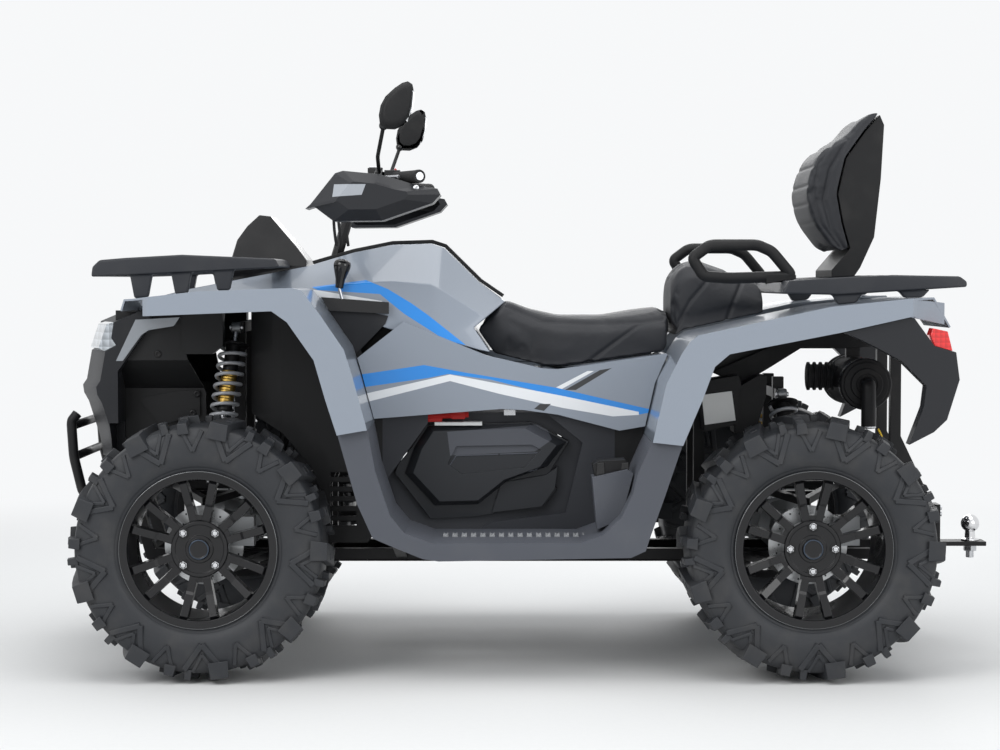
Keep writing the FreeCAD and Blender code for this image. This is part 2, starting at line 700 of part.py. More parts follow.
def steering_column():
    """Column with the pitman arm, its two pins and the clamp for the bar."""
    way = column_way()
    foot = column_point(COLUMN_FOOT_Z)
    shaft = rod(foot - way * EYE_RADIUS, column_point(COLUMN_TOP_Z), COLUMN_RADIUS)
    eye = pitman_eye()
    back = (eye + ACROSS * PITMAN_HALF - foot).normalize()
    half = EYE_RADIUS * 0.5
    arm = beam([foot, foot + back * (PITMAN_ARM + EYE_RADIUS)], half)
    bar = beam([eye - ACROSS * EYE_RADIUS, V(eye.x, -eye.y + EYE_RADIUS, eye.z)], half)
    pins = [rod(V(eye.x, side * eye.y, eye.z), V(eye.x, side * eye.y, eye.z) - way * EYE_RADIUS * 2.2,
                TIE_ROD_RADIUS) for side in (1, -1)]
    top = column_point(COLUMN_TOP_Z)
    clamp = block(top.x - CLAMP_HALF, top.x + CLAMP_HALF, -CLAMP_HALF * 1.5, CLAMP_HALF * 1.5,
                  top.z - CLAMP_HALF / 2, bar_points()[0].z + BAR_RADIUS * 1.5)
    return fused([shaft, arm, bar, clamp] + pins)


def tie_rod():
    """Left-hand tie rod from the pitman pin to under the knuckle arm, drawn straight ahead."""
    way = column_way()
    eye = pitman_eye() - way * (EYE_RADIUS * 1.3)
    target = steering_arm_eye()
    outer = V(target.x, target.y, target.z - EYE_RADIUS * 1.2 - 2 * RUNNING_GAP)
    ring = rod(eye - way * (EYE_RADIUS / 2), eye + way * (EYE_RADIUS / 2), EYE_RADIUS)
    end = rod(outer - UP * (EYE_RADIUS * 0.6), outer + UP * (EYE_RADIUS * 0.6), EYE_RADIUS)
    bar = rod(eye, outer, TIE_ROD_RADIUS)
    hole = bore(eye - way * EYE_RADIUS, eye + way * EYE_RADIUS, TIE_ROD_RADIUS + BUSH_GAP)
    return fused([ring, end, bar]).cut(hole)


def bar_points():
    """Left half of the handlebar's centre line, from the clamp to the end of the grip."""
    top = column_point(COLUMN_TOP_Z)
    centre = V(top.x, 0, top.z + CLAMP_HALF + BAR_RADIUS * 0.2)
    return [centre, centre - ACROSS * BAR_RISE_START, V(top.x + BAR_SWEEP * 0.25, -BAR_RISE_END, BAR_Z),
            V(top.x + BAR_SWEEP, -GRIP_END_Y, BAR_Z)]


def handlebar():
    """Bar bent up and back on each side, with grips and levers."""
    points = bar_points()
    half = bent_tube(points, BAR_RADIUS, BAR_BEND)
    grip_way = (points[3] - points[2]).normalize()
    grip = rod(points[3] - grip_way * GRIP_LENGTH, points[3] + grip_way * BAR_RADIUS, GRIP_RADIUS)
    box_centre = points[3] - grip_way * (GRIP_LENGTH + GRIP_RADIUS * 1.2)
    switch = block(box_centre.x - GRIP_RADIUS * 1.3, box_centre.x + GRIP_RADIUS * 1.3,
                   box_centre.y - GRIP_RADIUS, box_centre.y + GRIP_RADIUS,
                   box_centre.z - GRIP_RADIUS * 1.3, box_centre.z + GRIP_RADIUS * 1.3)
    lever_root = box_centre - V(GRIP_RADIUS, 0, 0)
    lever = beam([lever_root, lever_root + V(-GRIP_RADIUS * 2, -GRIP_RADIUS, 0),
                  V(points[3].x - GRIP_RADIUS * 3, points[3].y + GRIP_RADIUS, points[3].z)], BAR_RADIUS / 2)
    left = [half, grip, switch, lever]
    return fused(left + [mirrored(shape) for shape in left])


def hand_guard():
    """Left-hand guard: faceted shell before the grip, closed over its outer end."""
    outer_shares = [(0.166, 1.258), (0.175, 1.276), (0.216, 1.392), (0.229, 1.401), (0.290, 1.388),
                    (0.355, 1.345), (0.386, 1.334), (0.391, 1.312), (0.378, 1.280), (0.294, 1.214),
                    (0.213, 1.212), (0.180, 1.268)]
    inset_share = 0.55
    centre = V(0, 0, 0)
    for pair in outer_shares:
        centre += at(pair) * (1 / len(outer_shares))
    rings = []
    for y, share in ((GUARD_INNER_Y, 1.0), (GUARD_OUTER_Y - GUARD_BEVEL, 1.0), (GUARD_OUTER_Y, inset_share)):
        rings.append([V(centre.x + (at(p).x - centre.x) * share, -y, centre.z + (at(p).z - centre.z) * share)
                      for p in outer_shares])
    return skin(rings)


def hollow_guard():
    """The guard as a shell, open towards the grip and to the rear."""
    outer = hand_guard()
    middle = outer.BoundBox.Center
    hollow = outer.copy()
    matrix = FreeCAD.Matrix()
    matrix.move(middle * -1)
    matrix.scale(V(GUARD_HOLLOW_SHARE, 1.0, GUARD_HOLLOW_SHARE))
    matrix.move(middle + V(0, PANEL_WALL, 0))
    hollow = hollow.transformGeometry(matrix)
    return outer.cut(hollow)


def mirror_head():
    """Left-hand mirror on its stem."""
    head_shares = [(0.328, 1.752), (0.335, 1.735), (0.331, 1.665), (0.318, 1.592), (0.303, 1.574),
                   (0.283, 1.574), (0.278, 1.607), (0.281, 1.652), (0.293, 1.690)]
    head_shares = [(along + MIRROR_SHIFT_SHARE, up - MIRROR_DROP_SHARE) for along, up in head_shares]
    shell = slab(head_shares, -MIRROR_Y - MIRROR_HALF, -MIRROR_Y + MIRROR_HALF)
    stem = bent_tube([V(MIRROR_FOOT_X, -MIRROR_FOOT_Y, MIRROR_FOOT_Z),
                      V(MIRROR_FOOT_X, -MIRROR_Y * 0.8, BAR_Z + GRIP_RADIUS * 3),
                      at(head_shares[5], -MIRROR_Y) + V(EYE_RADIUS, 0, EYE_RADIUS)],
                     BAR_RADIUS / 2, BAR_BEND / 2)
    return shell, stem


def steering():
    """Everything that turns with the handlebar, and the tie rods."""
    bar = handlebar()
    save("steering_column", [steering_column().cut(bar)])
    save("handlebar", [bar])
    guard = hollow_guard().cut(bar)
    save("hand_guards", both_sides(guard.Solids[0] if guard.Solids else guard))
    shell, stem = mirror_head()
    save("mirrors", both_sides(fused([shell, stem]).cut(bar)))
    knuckle = front_knuckle()
    save("knuckle_left", [knuckle])
    save("knuckle_right", [mirrored(knuckle)])
    left = tie_rod()
    save("tie_rod_left", [left])
    save("tie_rod_right", [mirrored(left)])


# Chassis

def side_frame():
    """Left half of the frame: rails, posts and the brace up to the steering column."""
    front, foot, seat_post, tail, end = FRAME_SHARES
    low_share = (LOWER_RAIL_Z - AXLE_HEIGHT) / BODY_RISE
    high_share = (UPPER_RAIL_Z - AXLE_HEIGHT) / BODY_RISE
    lower = [(front, FRONT_FOOT_SHARE), (front / 1.2, low_share), (tail, low_share), (end, HITCH_SHARE)]
    upper = [(front, high_share), (foot, high_share), SEAT_RAIL_SHARES[0], SEAT_RAIL_SHARES[1],
             (RACK_POST_SHARE, TAIL_RAIL_SHARE), (tail, TAIL_RAIL_SHARE)]
    posts = [[(front, FRONT_FOOT_SHARE), (front, NOSE_POST_SHARE)], [(foot, low_share), (foot, high_share)],
             [(seat_post, low_share), SEAT_RAIL_SHARES[1]], [(tail, low_share), (tail, TAIL_RAIL_SHARE)],
             [(seat_post, high_share), (tail, high_share)], [(tail, high_share * 2), (end, HITCH_SHARE)]]
    paths = [[at(pair, -RAIL_Y) for pair in line] for line in [lower, upper] + posts]
    tower, rear_tower = damper_ends(FRONT_AXLE_X, FRONT_DAMPER)[0], damper_ends(REAR_AXLE_X, REAR_DAMPER)[0]
    paths.append([V(tower.x, -RAIL_Y, UPPER_RAIL_Z), V(tower.x, -RAIL_Y, tower.z + RAIL_HALF)])
    paths.append([V(rear_tower.x, -RAIL_Y, UPPER_RAIL_Z),
                  V(rear_tower.x, -RAIL_Y, rear_tower.z + RAIL_HALF * 3)])
    bearing = column_point(UPPER_BEARING_Z)
    paths.append([at((foot, high_share), -RAIL_Y), V(bearing.x, -RAIL_Y * BRACE_SHARE, bearing.z)])
    return fused([beam(points, RAIL_HALF) for points in paths])


def cross_tubes():
    """Tubes between and outside the two side frames, with the bearings of the steering column."""
    front, foot, seat_post, tail, end = FRAME_SHARES
    low_share = (LOWER_RAIL_Z - AXLE_HEIGHT) / BODY_RISE
    tower, rear_tower = damper_ends(FRONT_AXLE_X, FRONT_DAMPER)[0], damper_ends(REAR_AXLE_X, REAR_DAMPER)[0]
    mount_reach = -tower.y - EYE_RADIUS * DAMPER_EYE_SHARE - SEAT_GAP
    inner = RAIL_Y - RAIL_HALF
    pairs = [(front / 1.2, low_share), (foot, low_share), (seat_post, low_share), (tail, low_share),
             SEAT_RAIL_SHARES[0], SEAT_RAIL_SHARES[1], (tail, TAIL_RAIL_SHARE), (end, HITCH_SHARE),
             (front, NOSE_POST_SHARE - SEAT_GAP / RAIL_HALF)]
    centres = [(at(pair), inner) for pair in pairs] + [(tower, mount_reach), (rear_tower, mount_reach)]
    ties = [beam([V(c.x, -half, c.z), V(c.x, half, c.z)], RAIL_HALF * CROSS_SHARE) for c, half in centres]
    for z, reach in ((UPPER_BEARING_Z, RAIL_Y * BRACE_SHARE), (UPPER_RAIL_Z, inner)):
        c = column_point(z)
        bar = beam([V(c.x, -reach, c.z), V(c.x, reach, c.z)], RAIL_HALF * CROSS_SHARE)
        boss = rod(column_point(z - RAIL_HALF), column_point(z + RAIL_HALF), COLUMN_RADIUS * 2)
        hole = bore(column_point(COLUMN_FOOT_Z), column_point(COLUMN_TOP_Z), COLUMN_RADIUS + BUSH_GAP)
        ties.append(fused([bar, boss]).cut(hole))
    for along, up in OUTRIGGER_ENDS:
        start = V(at((along, 0)).x, -RAIL_Y, LOWER_RAIL_Z)
        end_point = at((along, up), -FOOTWELL_Y + FOOTWELL_BAND + RUNNING_GAP)
        outrigger = beam([start, end_point], RAIL_HALF)
        ties += both_sides(outrigger)
    side = side_frame()
    loose = []
    for tie in ties:
        loose += tie.cut(side).cut(mirrored(side)).Solids
    return loose


def chassis():
    save("frame", both_sides(side_frame()))
    save("cross_tubes", cross_tubes())
    engine = block(*ENGINE_SPAN)
    save("engine", [engine])
    save("skid_plate", [block(at((-0.10, 0)).x, at((1.0, 0)).x, -RAIL_Y - RAIL_HALF, RAIL_Y + RAIL_HALF,
                              LOWER_RAIL_Z - RAIL_HALF - PANEL_WALL, LOWER_RAIL_Z - RAIL_HALF)])


def shrunk(shares, share, y):
    """Outline drawn in towards its middle by a share, at a distance from the centre plane."""
    middle = sum((at(pair, y) for pair in shares), V()) * (1 / len(shares))
    return [middle + (at(pair, y) - middle) * share for pair in shares]


COVER_SHARES = [(0.363, 0.425), (0.546, 0.436), (0.609, 0.360), (0.570, 0.219), (0.589, 0.175),
                (0.568, 0.110), (0.452, 0.067), (0.370, 0.056), (0.308, 0.235), (0.313, 0.268),
                (0.339, 0.342)]


def belt_cover():
    """Cover of the belt drive: rim, raised faceted middle with a recess, lower lid."""
    raised_shares = [(0.363, 0.425), (0.546, 0.436), (0.609, 0.360), (0.575, 0.262), (0.505, 0.205),
                     (0.452, 0.110), (0.375, 0.105), (0.322, 0.235), (0.339, 0.342)]
    recess_shares = [(0.415, 0.345), (0.545, 0.350), (0.560, 0.330), (0.532, 0.262), (0.425, 0.235),
                     (0.400, 0.275)]
    lid_shares = [(0.492, 0.199), (0.569, 0.230), (0.590, 0.262), (0.585, 0.175), (0.562, 0.105),
                  (0.476, 0.082)]
    root = -ENGINE_HALF - SEAT_GAP
    rim_face = root - COVER_DEPTH * COVER_RIM_SHARE
    body = slab(COVER_SHARES, rim_face, root)
    levels = ((0.97, root - OVERRUN), (0.97, rim_face - OVERRUN), (0.86, -PANEL_Y + INNER_WALL))
    middle = skin([shrunk(raised_shares, share, y) for share, y in levels])
    cover = fused([body, middle, slab(lid_shares, rim_face - INNER_WALL, root - OVERRUN)])
    return cover.cut(slab(recess_shares, -PANEL_Y, -PANEL_Y + 2 * INNER_WALL))


def shroud_sheet(plan, outline):
    """Inner panel folded along upright creases, its plan line cut to a side outline."""
    points = plan + [(x, y + INNER_WALL) for x, y in reversed(plan)]
    sheet = plan_prism(points, 0, AXLE_HEIGHT + 2 * BODY_RISE)
    return sheet.common(slab(outline, -OVERALL_WIDTH / 2, 0))


def front_shroud():
    """Panel behind the front damper, folded in at its front, with a louvred grille low down."""
    face = -PANEL_Y + SEAT_GAP
    outline_shares = [(0.060, 0.930), (0.060, 0.470), (0.115, 0.400), (0.165, 0.270), (0.192, 0.120),
                      (0.192, -0.030), (0.262, -0.030), (0.301, 0.080), (0.297, 0.222), (0.366, 0.436),
                      (0.366, 0.500), (0.262, 0.500), (0.262, 0.660), (0.228, 0.845), (0.228, 0.930)]
    plan = [(at((0.060, 0)).x, -SHROUD_NOSE_Y), (at((0.115, 0)).x, face), (at((0.370, 0)).x, face)]
    panel = shroud_sheet(plan, outline_shares)
    start, end, top = at((0.198, 0)).x, at((0.243, 0)).x, at((0, 0.245)).z
    for i in range(LOUVRES):
        z = top - LOUVRE_PITCH * i
        panel = panel.cut(block(start, end, face - OVERRUN, 0, z - LOUVRE_PITCH / 2, z))
    return panel


def rear_shroud():
    """Panel behind the belt cover, down to the kick plate along the floor."""
    face = -PANEL_Y + SEAT_GAP
    outline_shares = [(0.455, 0.026), (0.475, 0.050), (0.603, 0.085), (0.632, 0.360), (0.572, 0.470),
                      (0.572, 0.500), (0.738, 0.500), (0.7365, 0.396), (0.714, 0.281), (0.706, 0.205),
                      (0.688, 0.121), (0.658, 0.054), (0.621, 0.026)]
    return slab(outline_shares, face, face + INNER_WALL)


def front_liner():
    """Liner from the fascia to the front damper: two walls and a ledge, a raised facet, a canister."""
    top, knee, ledge, foot = [at((0, up)).z for up in (0.874, 0.682, 0.568, 0.250)]
    profile = [(-LINER_Y, top), (-LINER_Y, knee), (-LINER_INNER_Y, ledge), (-LINER_INNER_Y, foot)]
    profile += [(y + INNER_WALL, z) for y, z in reversed(profile)]
    start, end = at((-0.165, 0)).x, at((0, 0)).x
    wall = polygon_face([V(start, y, z) for y, z in profile]).extrude(V(end - start, 0, 0))
    outline_shares = [(-0.165, 0.874), (-0.045, 0.874), (-0.045, 0.700), (-0.020, 0.550), (-0.020, 0.250),
                      (-0.165, 0.250)]
    wall = wall.common(slab(outline_shares, -OVERALL_WIDTH / 2, 0))
    facet_shares = [(-0.123, 0.533), (-0.070, 0.556), (-0.030, 0.560), (-0.030, 0.462), (-0.068, 0.442),
                    (-0.099, 0.423), (-0.134, 0.521)]
    can_shares = [(-0.052, 0.871), (-0.052, 0.725), (-0.044, 0.706), (0.000, 0.706), (0.018, 0.740),
                  (0.018, 0.871)]
    return fused([wall, slab(facet_shares, -LINER_INNER_Y - INNER_WALL, -LINER_INNER_Y + INNER_WALL / 2),
                  slab(can_shares, -LINER_Y - INNER_WALL, -LINER_Y + CANISTER_DEPTH)]).cut(nose())


def engine_shield():
    """Plate on the left of the engine, open round the belt cover."""
    outline_shares = [(0.295, 0.180), (0.325, 0.0), (0.655, 0.0), (0.665, 0.300), (0.640, 0.470),
                      (0.295, 0.470)]
    opening_share = 1.01
    root = -ENGINE_HALF - SEAT_GAP
    opening = polygon_face(shrunk(COVER_SHARES, opening_share, root)).extrude(ACROSS * -INNER_WALL)
    return slab(outline_shares, root - INNER_WALL / 2, root).cut(opening)


def air_box(tank):
    """Housing on the seat rails under the tank cover, behind the steering column."""
    (along, up), (far, high) = SEAT_RAIL_SHARES
    start, end = 0.210, 0.320
    rise = (RAIL_HALF + 2 * SEAT_GAP) / BODY_RISE
    slope = (high - up) / (far - along)
    outline_shares = [(along, up + rise), (end, up + rise + slope * (end - along)), (end, 0.95), (start, 0.95),
                      (start, up + 2 * rise)]
    box = slab(outline_shares, -TANK_HALF * BRACE_SHARE, TANK_HALF * BRACE_SHARE)
    below = tank.copy()
    below.translate(UP * -SEAT_GAP)
    return box.cut(below)


def inner_panels():
    """Inner panels of both sides."""
    tank = tank_cover()
    fronts = [max(panel.cut(tank).Solids, key=lambda solid: solid.Volume)
              for panel in both_sides(front_shroud())]
    save("inner_panels", both_sides(front_liner()) + fronts + both_sides(rear_shroud())
         + both_sides(engine_shield()) + [air_box(tank)])


# Bodywork

SEAT_FRONT_SHARES = [(0.502, 0.909), (0.445, 0.805), (0.478, 0.696)]
SEAT_BASE_SHARES = [(0.478, 0.696), (0.564, 0.650), (0.590, 0.647), (0.776, 0.7065)]
FENDER_TOP_SHARES = [(-0.131, 0.878), (-0.124, 0.920), (-0.107, 0.922), (0.001, 0.949), (0.153, 0.962),
                     (0.170, 0.953), (0.199, 0.865), (0.238, 0.736), (0.251, 0.642), (0.275, 0.442)]
FENDER_ARCH_SHARES = [(-0.100, 0.858), (-0.024, 0.863), (0.121, 0.877), (0.146, 0.837), (0.189, 0.698),
                      (0.208, 0.549), (0.226, 0.423)]
REAR_TOP_SHARES = [(0.737, 0.397), (0.759, 0.612), (0.783, 0.720), (0.797, 0.766), (0.810, 0.789),
                   (1.024, 0.893), (1.153, 0.923), (1.198, 0.927), (1.232, 0.817)]
REAR_ARCH_SHARES = [(0.786, 0.385), (0.817, 0.551), (0.837, 0.674), (0.861, 0.720), (1.045, 0.801),
                    (1.157, 0.858), (1.229, 0.802)]
FLARE_SHARES = [(1.047, 0.800), (1.158, 0.858), (1.193, 0.750), (1.228, 0.727), (1.234, 0.626),
                (1.214, 0.479), (1.193, 0.434), (1.153, 0.387), (1.176, 0.526), (1.180, 0.603),
                (1.139, 0.695), (1.091, 0.753)]


def arch_fender(top, arch, inner_y, plan):
    """Left-hand fender: outer band between its top line and the wheel arch, and a skin over the wheel."""
    band = slab(top + arch[::-1], -FENDER_Y, -FENDER_Y + FENDER_BAND)
    roof = bent_sheet(top, -PANEL_WALL, -FENDER_Y, -inner_y)
    whole = fused([band, roof])
    return whole.common(plan_prism(plan, 0, AXLE_HEIGHT + 2 * BODY_RISE))


def front_fender():
    front, rear = [at((share, 0)).x for share in FRONT_FENDER_SHARES]
    plan = [(front, -FENDER_INNER_Y), (front, -FENDER_Y + FRONT_CORNER), (front + FRONT_CORNER, -FENDER_Y),
            (rear, -FENDER_Y), (rear, -FENDER_INNER_Y)]
    return arch_fender(FENDER_TOP_SHARES, FENDER_ARCH_SHARES, FENDER_INNER_Y, plan)


def rear_fender():
    front, rear = [at((share, 0)).x for share in REAR_FENDER_SHARES]
    plan = [(front, -REAR_INNER_Y), (front, -FENDER_Y),
            (rear - REAR_CORNER, -FENDER_Y), (rear, -FENDER_Y + REAR_CORNER),
            (rear, -REAR_INNER_Y)]
    return arch_fender(REAR_TOP_SHARES, REAR_ARCH_SHARES, REAR_INNER_Y, plan)


def rear_flare():
    """Dark trim behind the rear wheel, under the fender's tail."""
    return slab(FLARE_SHARES, -FENDER_Y + FENDER_BAND, -FENDER_Y + FENDER_BAND + COVER_DEPTH)


NOSE_SHARES = [(-0.166, 0.868), (-0.205, 0.830), (-0.209, 0.768), (-0.201, 0.740), (-0.221, 0.717),
               (-0.230, 0.603), (-0.237, 0.580), (-0.235, 0.549), (-0.227, 0.517), (-0.208, 0.380),
               (-0.202, 0.302), (-0.178, 0.283)]
NOSE_BACK_SHARES = [(-0.1596, 0.380), (-0.1596, 0.640), (-0.110, 0.800), (-0.100, 0.8743), (-0.145, 0.8695)]


def swept(shares, y):
    """Outline of the nose at a distance from the centre plane, its corners swept back."""
    back = NOSE_SWEEP * max(0, abs(y) - NOSE_Y + NOSE_CORNER) / NOSE_CORNER
    return [at(pair, y) + V(back, 0, 0) for pair in shares]


def nose():
    """Fascia: thick faceted panel across the front, its corners swept back."""
    rings = []
    for y in (-NOSE_Y, -NOSE_Y + NOSE_CORNER, NOSE_Y - NOSE_CORNER, NOSE_Y):
        rings.append(swept(NOSE_SHARES, y) + [at(pair, y) for pair in NOSE_BACK_SHARES])
    whole = skin(rings)
    behind, above = at((TYRE_SWEEP_SHARE, TYRE_SWEEP_RISE_SHARE)).x, at((0, TYRE_SWEEP_RISE_SHARE)).z
    relief = block(behind, FRONT_AXLE_X, -NOSE_Y - OVERRUN, -TYRE_SWEEP_Y, 0, above)
    return whole.cut(relief).cut(mirrored(relief))


def footwell():
    """Left-hand footwell: U-shaped outer band, floor, front and rear walls and inner wall."""
    outer_shares = [(0.226, 0.4225), (0.258, 0.167), (0.283, 0.042), (0.321, 0.005), (0.364, -0.034),
                    (0.390, -0.043), (0.703, -0.030), (0.727, -0.005), (0.733, 0.038), (0.758, 0.197),
                    (0.786, 0.3840)]
    inner_shares = [(0.7365, 0.3960), (0.714, 0.281), (0.706, 0.205), (0.688, 0.121), (0.658, 0.054),
                    (0.621, 0.024), (0.379, 0.024), (0.335, 0.060), (0.311, 0.126), (0.287, 0.291),
                    (0.2745, 0.4405)]
    band = slab(outer_shares + inner_shares, -FOOTWELL_Y, -FOOTWELL_Y + FOOTWELL_BAND)
    tray = bent_sheet(inner_shares[::-1], -PANEL_WALL, -FOOTWELL_Y + FOOTWELL_BAND / 2, -PANEL_Y)
    return fused([band, tray, storage_box().cut(fused([band, tray]))])


def tank_section_shares():
    """Half sections of the cover: place along it, then width and height shares from the side up."""
    return [(-0.145, ((0.98, 0.870), (0.98, 0.885), (0.80, 0.900))),
            (-0.05, ((1.0, 0.880), (1.0, 0.915), (0.8, 0.955))),
            (0.153, ((1.0, 0.880), (1.0, 0.957), (0.45, 1.046))),
            (0.233, ((1.0, 0.850), (0.98, 0.975), (0.40, 1.100))),
            (0.301, ((1.0, 0.800), (0.96, 0.985), (0.38, 1.131))),
            (0.370, ((1.0, 0.770), (0.90, 0.975), (0.36, 1.136))),
            (0.392, ((1.0, 0.760), (0.86, 0.950), (0.36, 1.120))),
            (0.454, ((1.0, 0.720), (0.80, 0.860), (0.34, 0.982))),
            (0.500, ((1.0, 0.700), (0.76, 0.800), (0.30, 0.905)))]


def tank_cover():
    """Faceted cover of tank and steering with a well for the column, cut back for the seat."""
    rings = []
    for along, points in tank_section_shares():
        left = [at((along, up), -share * PANEL_Y) for share, up in points]
        rings.append(left + [V(p.x, -p.y, p.z) for p in reversed(left)])
    well = bore(column_point(COLUMN_FOOT_Z), column_point(COLUMN_TOP_Z), COLUMN_RADIUS + RUNNING_GAP)
    room = slab(SEAT_FRONT_SHARES + [(0.52, 0.65), (0.52, 0.93)], -PANEL_Y - OVERRUN, PANEL_Y + OVERRUN)
    room.translate(V(-SEAT_GAP, 0, 0))
    return skin(rings).cut(well).cut(room)


def spine():
    """Dark trim along the top of the tank cover, open round the column."""
    line_shares = [(0.160, 1.054), (0.233, 1.102), (0.301, 1.133), (0.370, 1.138), (0.392, 1.122),
                   (0.454, 0.984), (0.494, 0.922)]
    strip = bent_sheet(line_shares, SPINE_WALL, -SPINE_HALF, SPINE_HALF)
    well = bore(column_point(COLUMN_FOOT_Z), column_point(COLUMN_TOP_Z), COLUMN_RADIUS + RUNNING_GAP)
    return strip.cut(tank_cover()).cut(well)


def dash_cover():
    """Faceted pod before the handlebar that carries the display."""
    outline_shares = [(0.011, 1.02), (0.027, 1.150), (0.044, 1.205), (0.065, 1.250), (0.085, 1.245),
                      (0.132, 1.123), (0.150, 1.07), (0.150, 0.98), (0.011, 0.95)]
    pod = slab(outline_shares, -POD_HALF, POD_HALF)
    top, low = at((0.065, 1.27)).z, at((0.0, 1.05)).z
    for side in (LEFT, RIGHT):
        wedge = [V(at((-0.01, 0)).x, side * POD_HALF, low), V(at((-0.01, 0)).x, side * (POD_HALF + OVERRUN),
                                                              top), V(at((-0.01, 0)).x,
                                                                      side * POD_HALF * 0.6, top)]
        pod = pod.cut(polygon_face(wedge).extrude(V(at((0.2, 0)).x - at((-0.01, 0)).x, 0, 0)))
    return pod.cut(tank_cover())


def side_panel():
    """Left-hand side panel with the ledge under the edge of the seat."""
    outline_shares = [(0.2462, 0.690), (0.325, 0.830), (0.467, 0.700), (0.563, 0.650), (0.589, 0.647),
                      (0.776, 0.703), (0.7545, 0.592), (0.7380, 0.426), (0.694, 0.409), (0.589, 0.471),
                      (0.530, 0.489), (0.491, 0.493), (0.2745, 0.455), (0.2525, 0.642)]
    face = slab(outline_shares, -PANEL_Y - COVER_DEPTH / 2, -PANEL_Y)
    ledge = bent_sheet(SEAT_BASE_SHARES[1:], -PANEL_WALL, -PANEL_Y - SEAT_GAP, -SEAT_Y * 0.6)
    ledge.translate(V(0, 0, -SEAT_GAP))
    return fused([face, ledge]).cut(tank_cover())


def height_on(line, along):
    """Height share of a line of shares at a share of the wheelbase."""
    for (x0, z0), (x1, z1) in zip(line, line[1:]):
        if x0 <= along <= x1:
            return z0 + (z1 - z0) * (along - x0) / (x1 - x0)
    return line[-1][1]


def rack_leg(along, width, line, top, y):
    """Foot of a rack from the fender's skin up to its deck."""
    rise = SEAT_GAP / BODY_RISE
    back = along + width
    foot_shares = [(along, height_on(line, along) + rise), (back, height_on(line, back) + rise),
                   (back + width * 0.4, top), (along - width * 0.4, top)]
    return slab(foot_shares, y - RACK_BAR / 2, y + RACK_BAR / 2)


def rack(shares, half, legs, line, leg_y):
    """Load rack: a tapered deck with long slots between its slats, on legs."""
    deck = slab(shares, -half, half)
    xs = [at(pair).x for pair in shares]
    zs = [at(pair).z for pair in shares]
    start, end = min(xs) + 2 * RACK_BAR, max(xs) - 2 * RACK_BAR
    pitch = 2 * (half - RACK_BAR) / RACK_SLATS
    for i in range(RACK_SLATS):
        y = -half + RACK_BAR + pitch * i + RACK_BAR / 2
        deck = deck.cut(block(start, end, y, y + pitch - RACK_BAR, min(zs) - OVERRUN, max(zs) + OVERRUN))
    feet = [rack_leg(along, width, line, top, side * leg_y) for along, width, top in legs
            for side in (LEFT, RIGHT)]
    return fused([deck] + feet)


def front_rack():
    deck_shares = [(-0.187, 1.040), (-0.175, 1.066), (-0.133, 1.074), (-0.038, 1.086), (0.117, 1.071),
                   (0.124, 1.040), (-0.111, 1.010), (-0.189, 1.003)]
    leg_shares = [(-0.118, 0.022, 1.03), (-0.05, 0.02, 1.03), (0.02, 0.02, 1.035)]
    whole = rack(deck_shares, RACK_FRONT_Y, leg_shares, FENDER_TOP_SHARES, RACK_FRONT_Y - RACK_BAR * 0.75)
    start = at((-0.012, 0)).x
    room = block(start, at((0.16, 0)).x, -POD_HALF - RACK_BAR / 2, POD_HALF + RACK_BAR / 2, 0, at((0, 1.3)).z)
    return whole.cut(room).cut(tank_cover())


def rear_rack():
    deck_shares = [(0.955, 0.939), (0.968, 0.989), (1.14, 1.010), (1.25, 1.005), (1.262, 0.985),
                   (1.262, 0.965), (1.05, 0.935)]
    leg_shares = [(1.05, 0.03, 0.945), (1.16, 0.03, 0.955)]
    return rack(deck_shares, RACK_REAR_Y, leg_shares, REAR_TOP_SHARES, RACK_REAR_Y - RACK_BAR * 0.75)


# Seats and backrest

def crowned(stations, half, base):
    """Padded body along X: a ring at each station, its top rounded down towards the sides."""
    rings = []
    for along, up, wide in stations:
        width = half * wide
        top = at((along, up))
        ring = [V(top.x, -width, base), V(top.x, -width, top.z - SEAT_CROWN * 3),
                V(top.x, -width * 0.8, top.z - SEAT_CROWN), V(top.x, -width * 0.4, top.z)]
        rings.append(ring + [V(p.x, -p.y, p.z) for p in reversed(ring)])
    return skin(rings)


def seat():
    """Rider's seat, narrow at the tank and wide at the back, on the ledges of the side panels."""
    top_shares = [(0.502, 0.909), (0.541, 0.873), (0.593, 0.847), (0.672, 0.847), (0.725, 0.868),
                  (0.787, 0.885)]
    station_shares = [(0.44, 0.96, 0.74), (0.502, 0.925, 0.78), (0.541, 0.884, 0.84), (0.593, 0.858, 0.92),
                (0.672, 0.856, 1.0), (0.725, 0.872, 1.0), (0.787, 0.885, 1.0)]
    outline_shares = SEAT_FRONT_SHARES[:2] + SEAT_BASE_SHARES[:] + [(0.7865, 0.742)] + top_shares[::-1][:-1]
    body = crowned(station_shares, SEAT_Y, at((0, 0.6)).z)
    return body.common(slab(outline_shares, -PANEL_Y, PANEL_Y))


def passenger_seat():
    """Raised seat behind the rider, standing on the inner edges of the rear fenders."""
    station_shares = [(0.790, 0.990, 0.92), (0.797, 1.040, 0.95), (0.811, 1.066, 0.97),
                      (0.829, 1.071, 1.0), (0.939, 0.983, 1.0), (0.952, 0.975, 1.0)]
    rise = SEAT_GAP / BODY_RISE
    base_shares = [(along, height_on(REAR_TOP_SHARES, along) + rise) for along in (0.952, 0.81, 0.797)]
    outline_shares = [(0.790, base_shares[-1][1]), (0.790, 0.96), (0.797, 1.040), (0.811, 1.061),
                      (0.829, 1.071), (0.952, 0.975)] + base_shares
    body = crowned(station_shares, PASSENGER_HALF, at((0, 0.6)).z)
    return body.common(slab(outline_shares, -PANEL_Y, PANEL_Y))


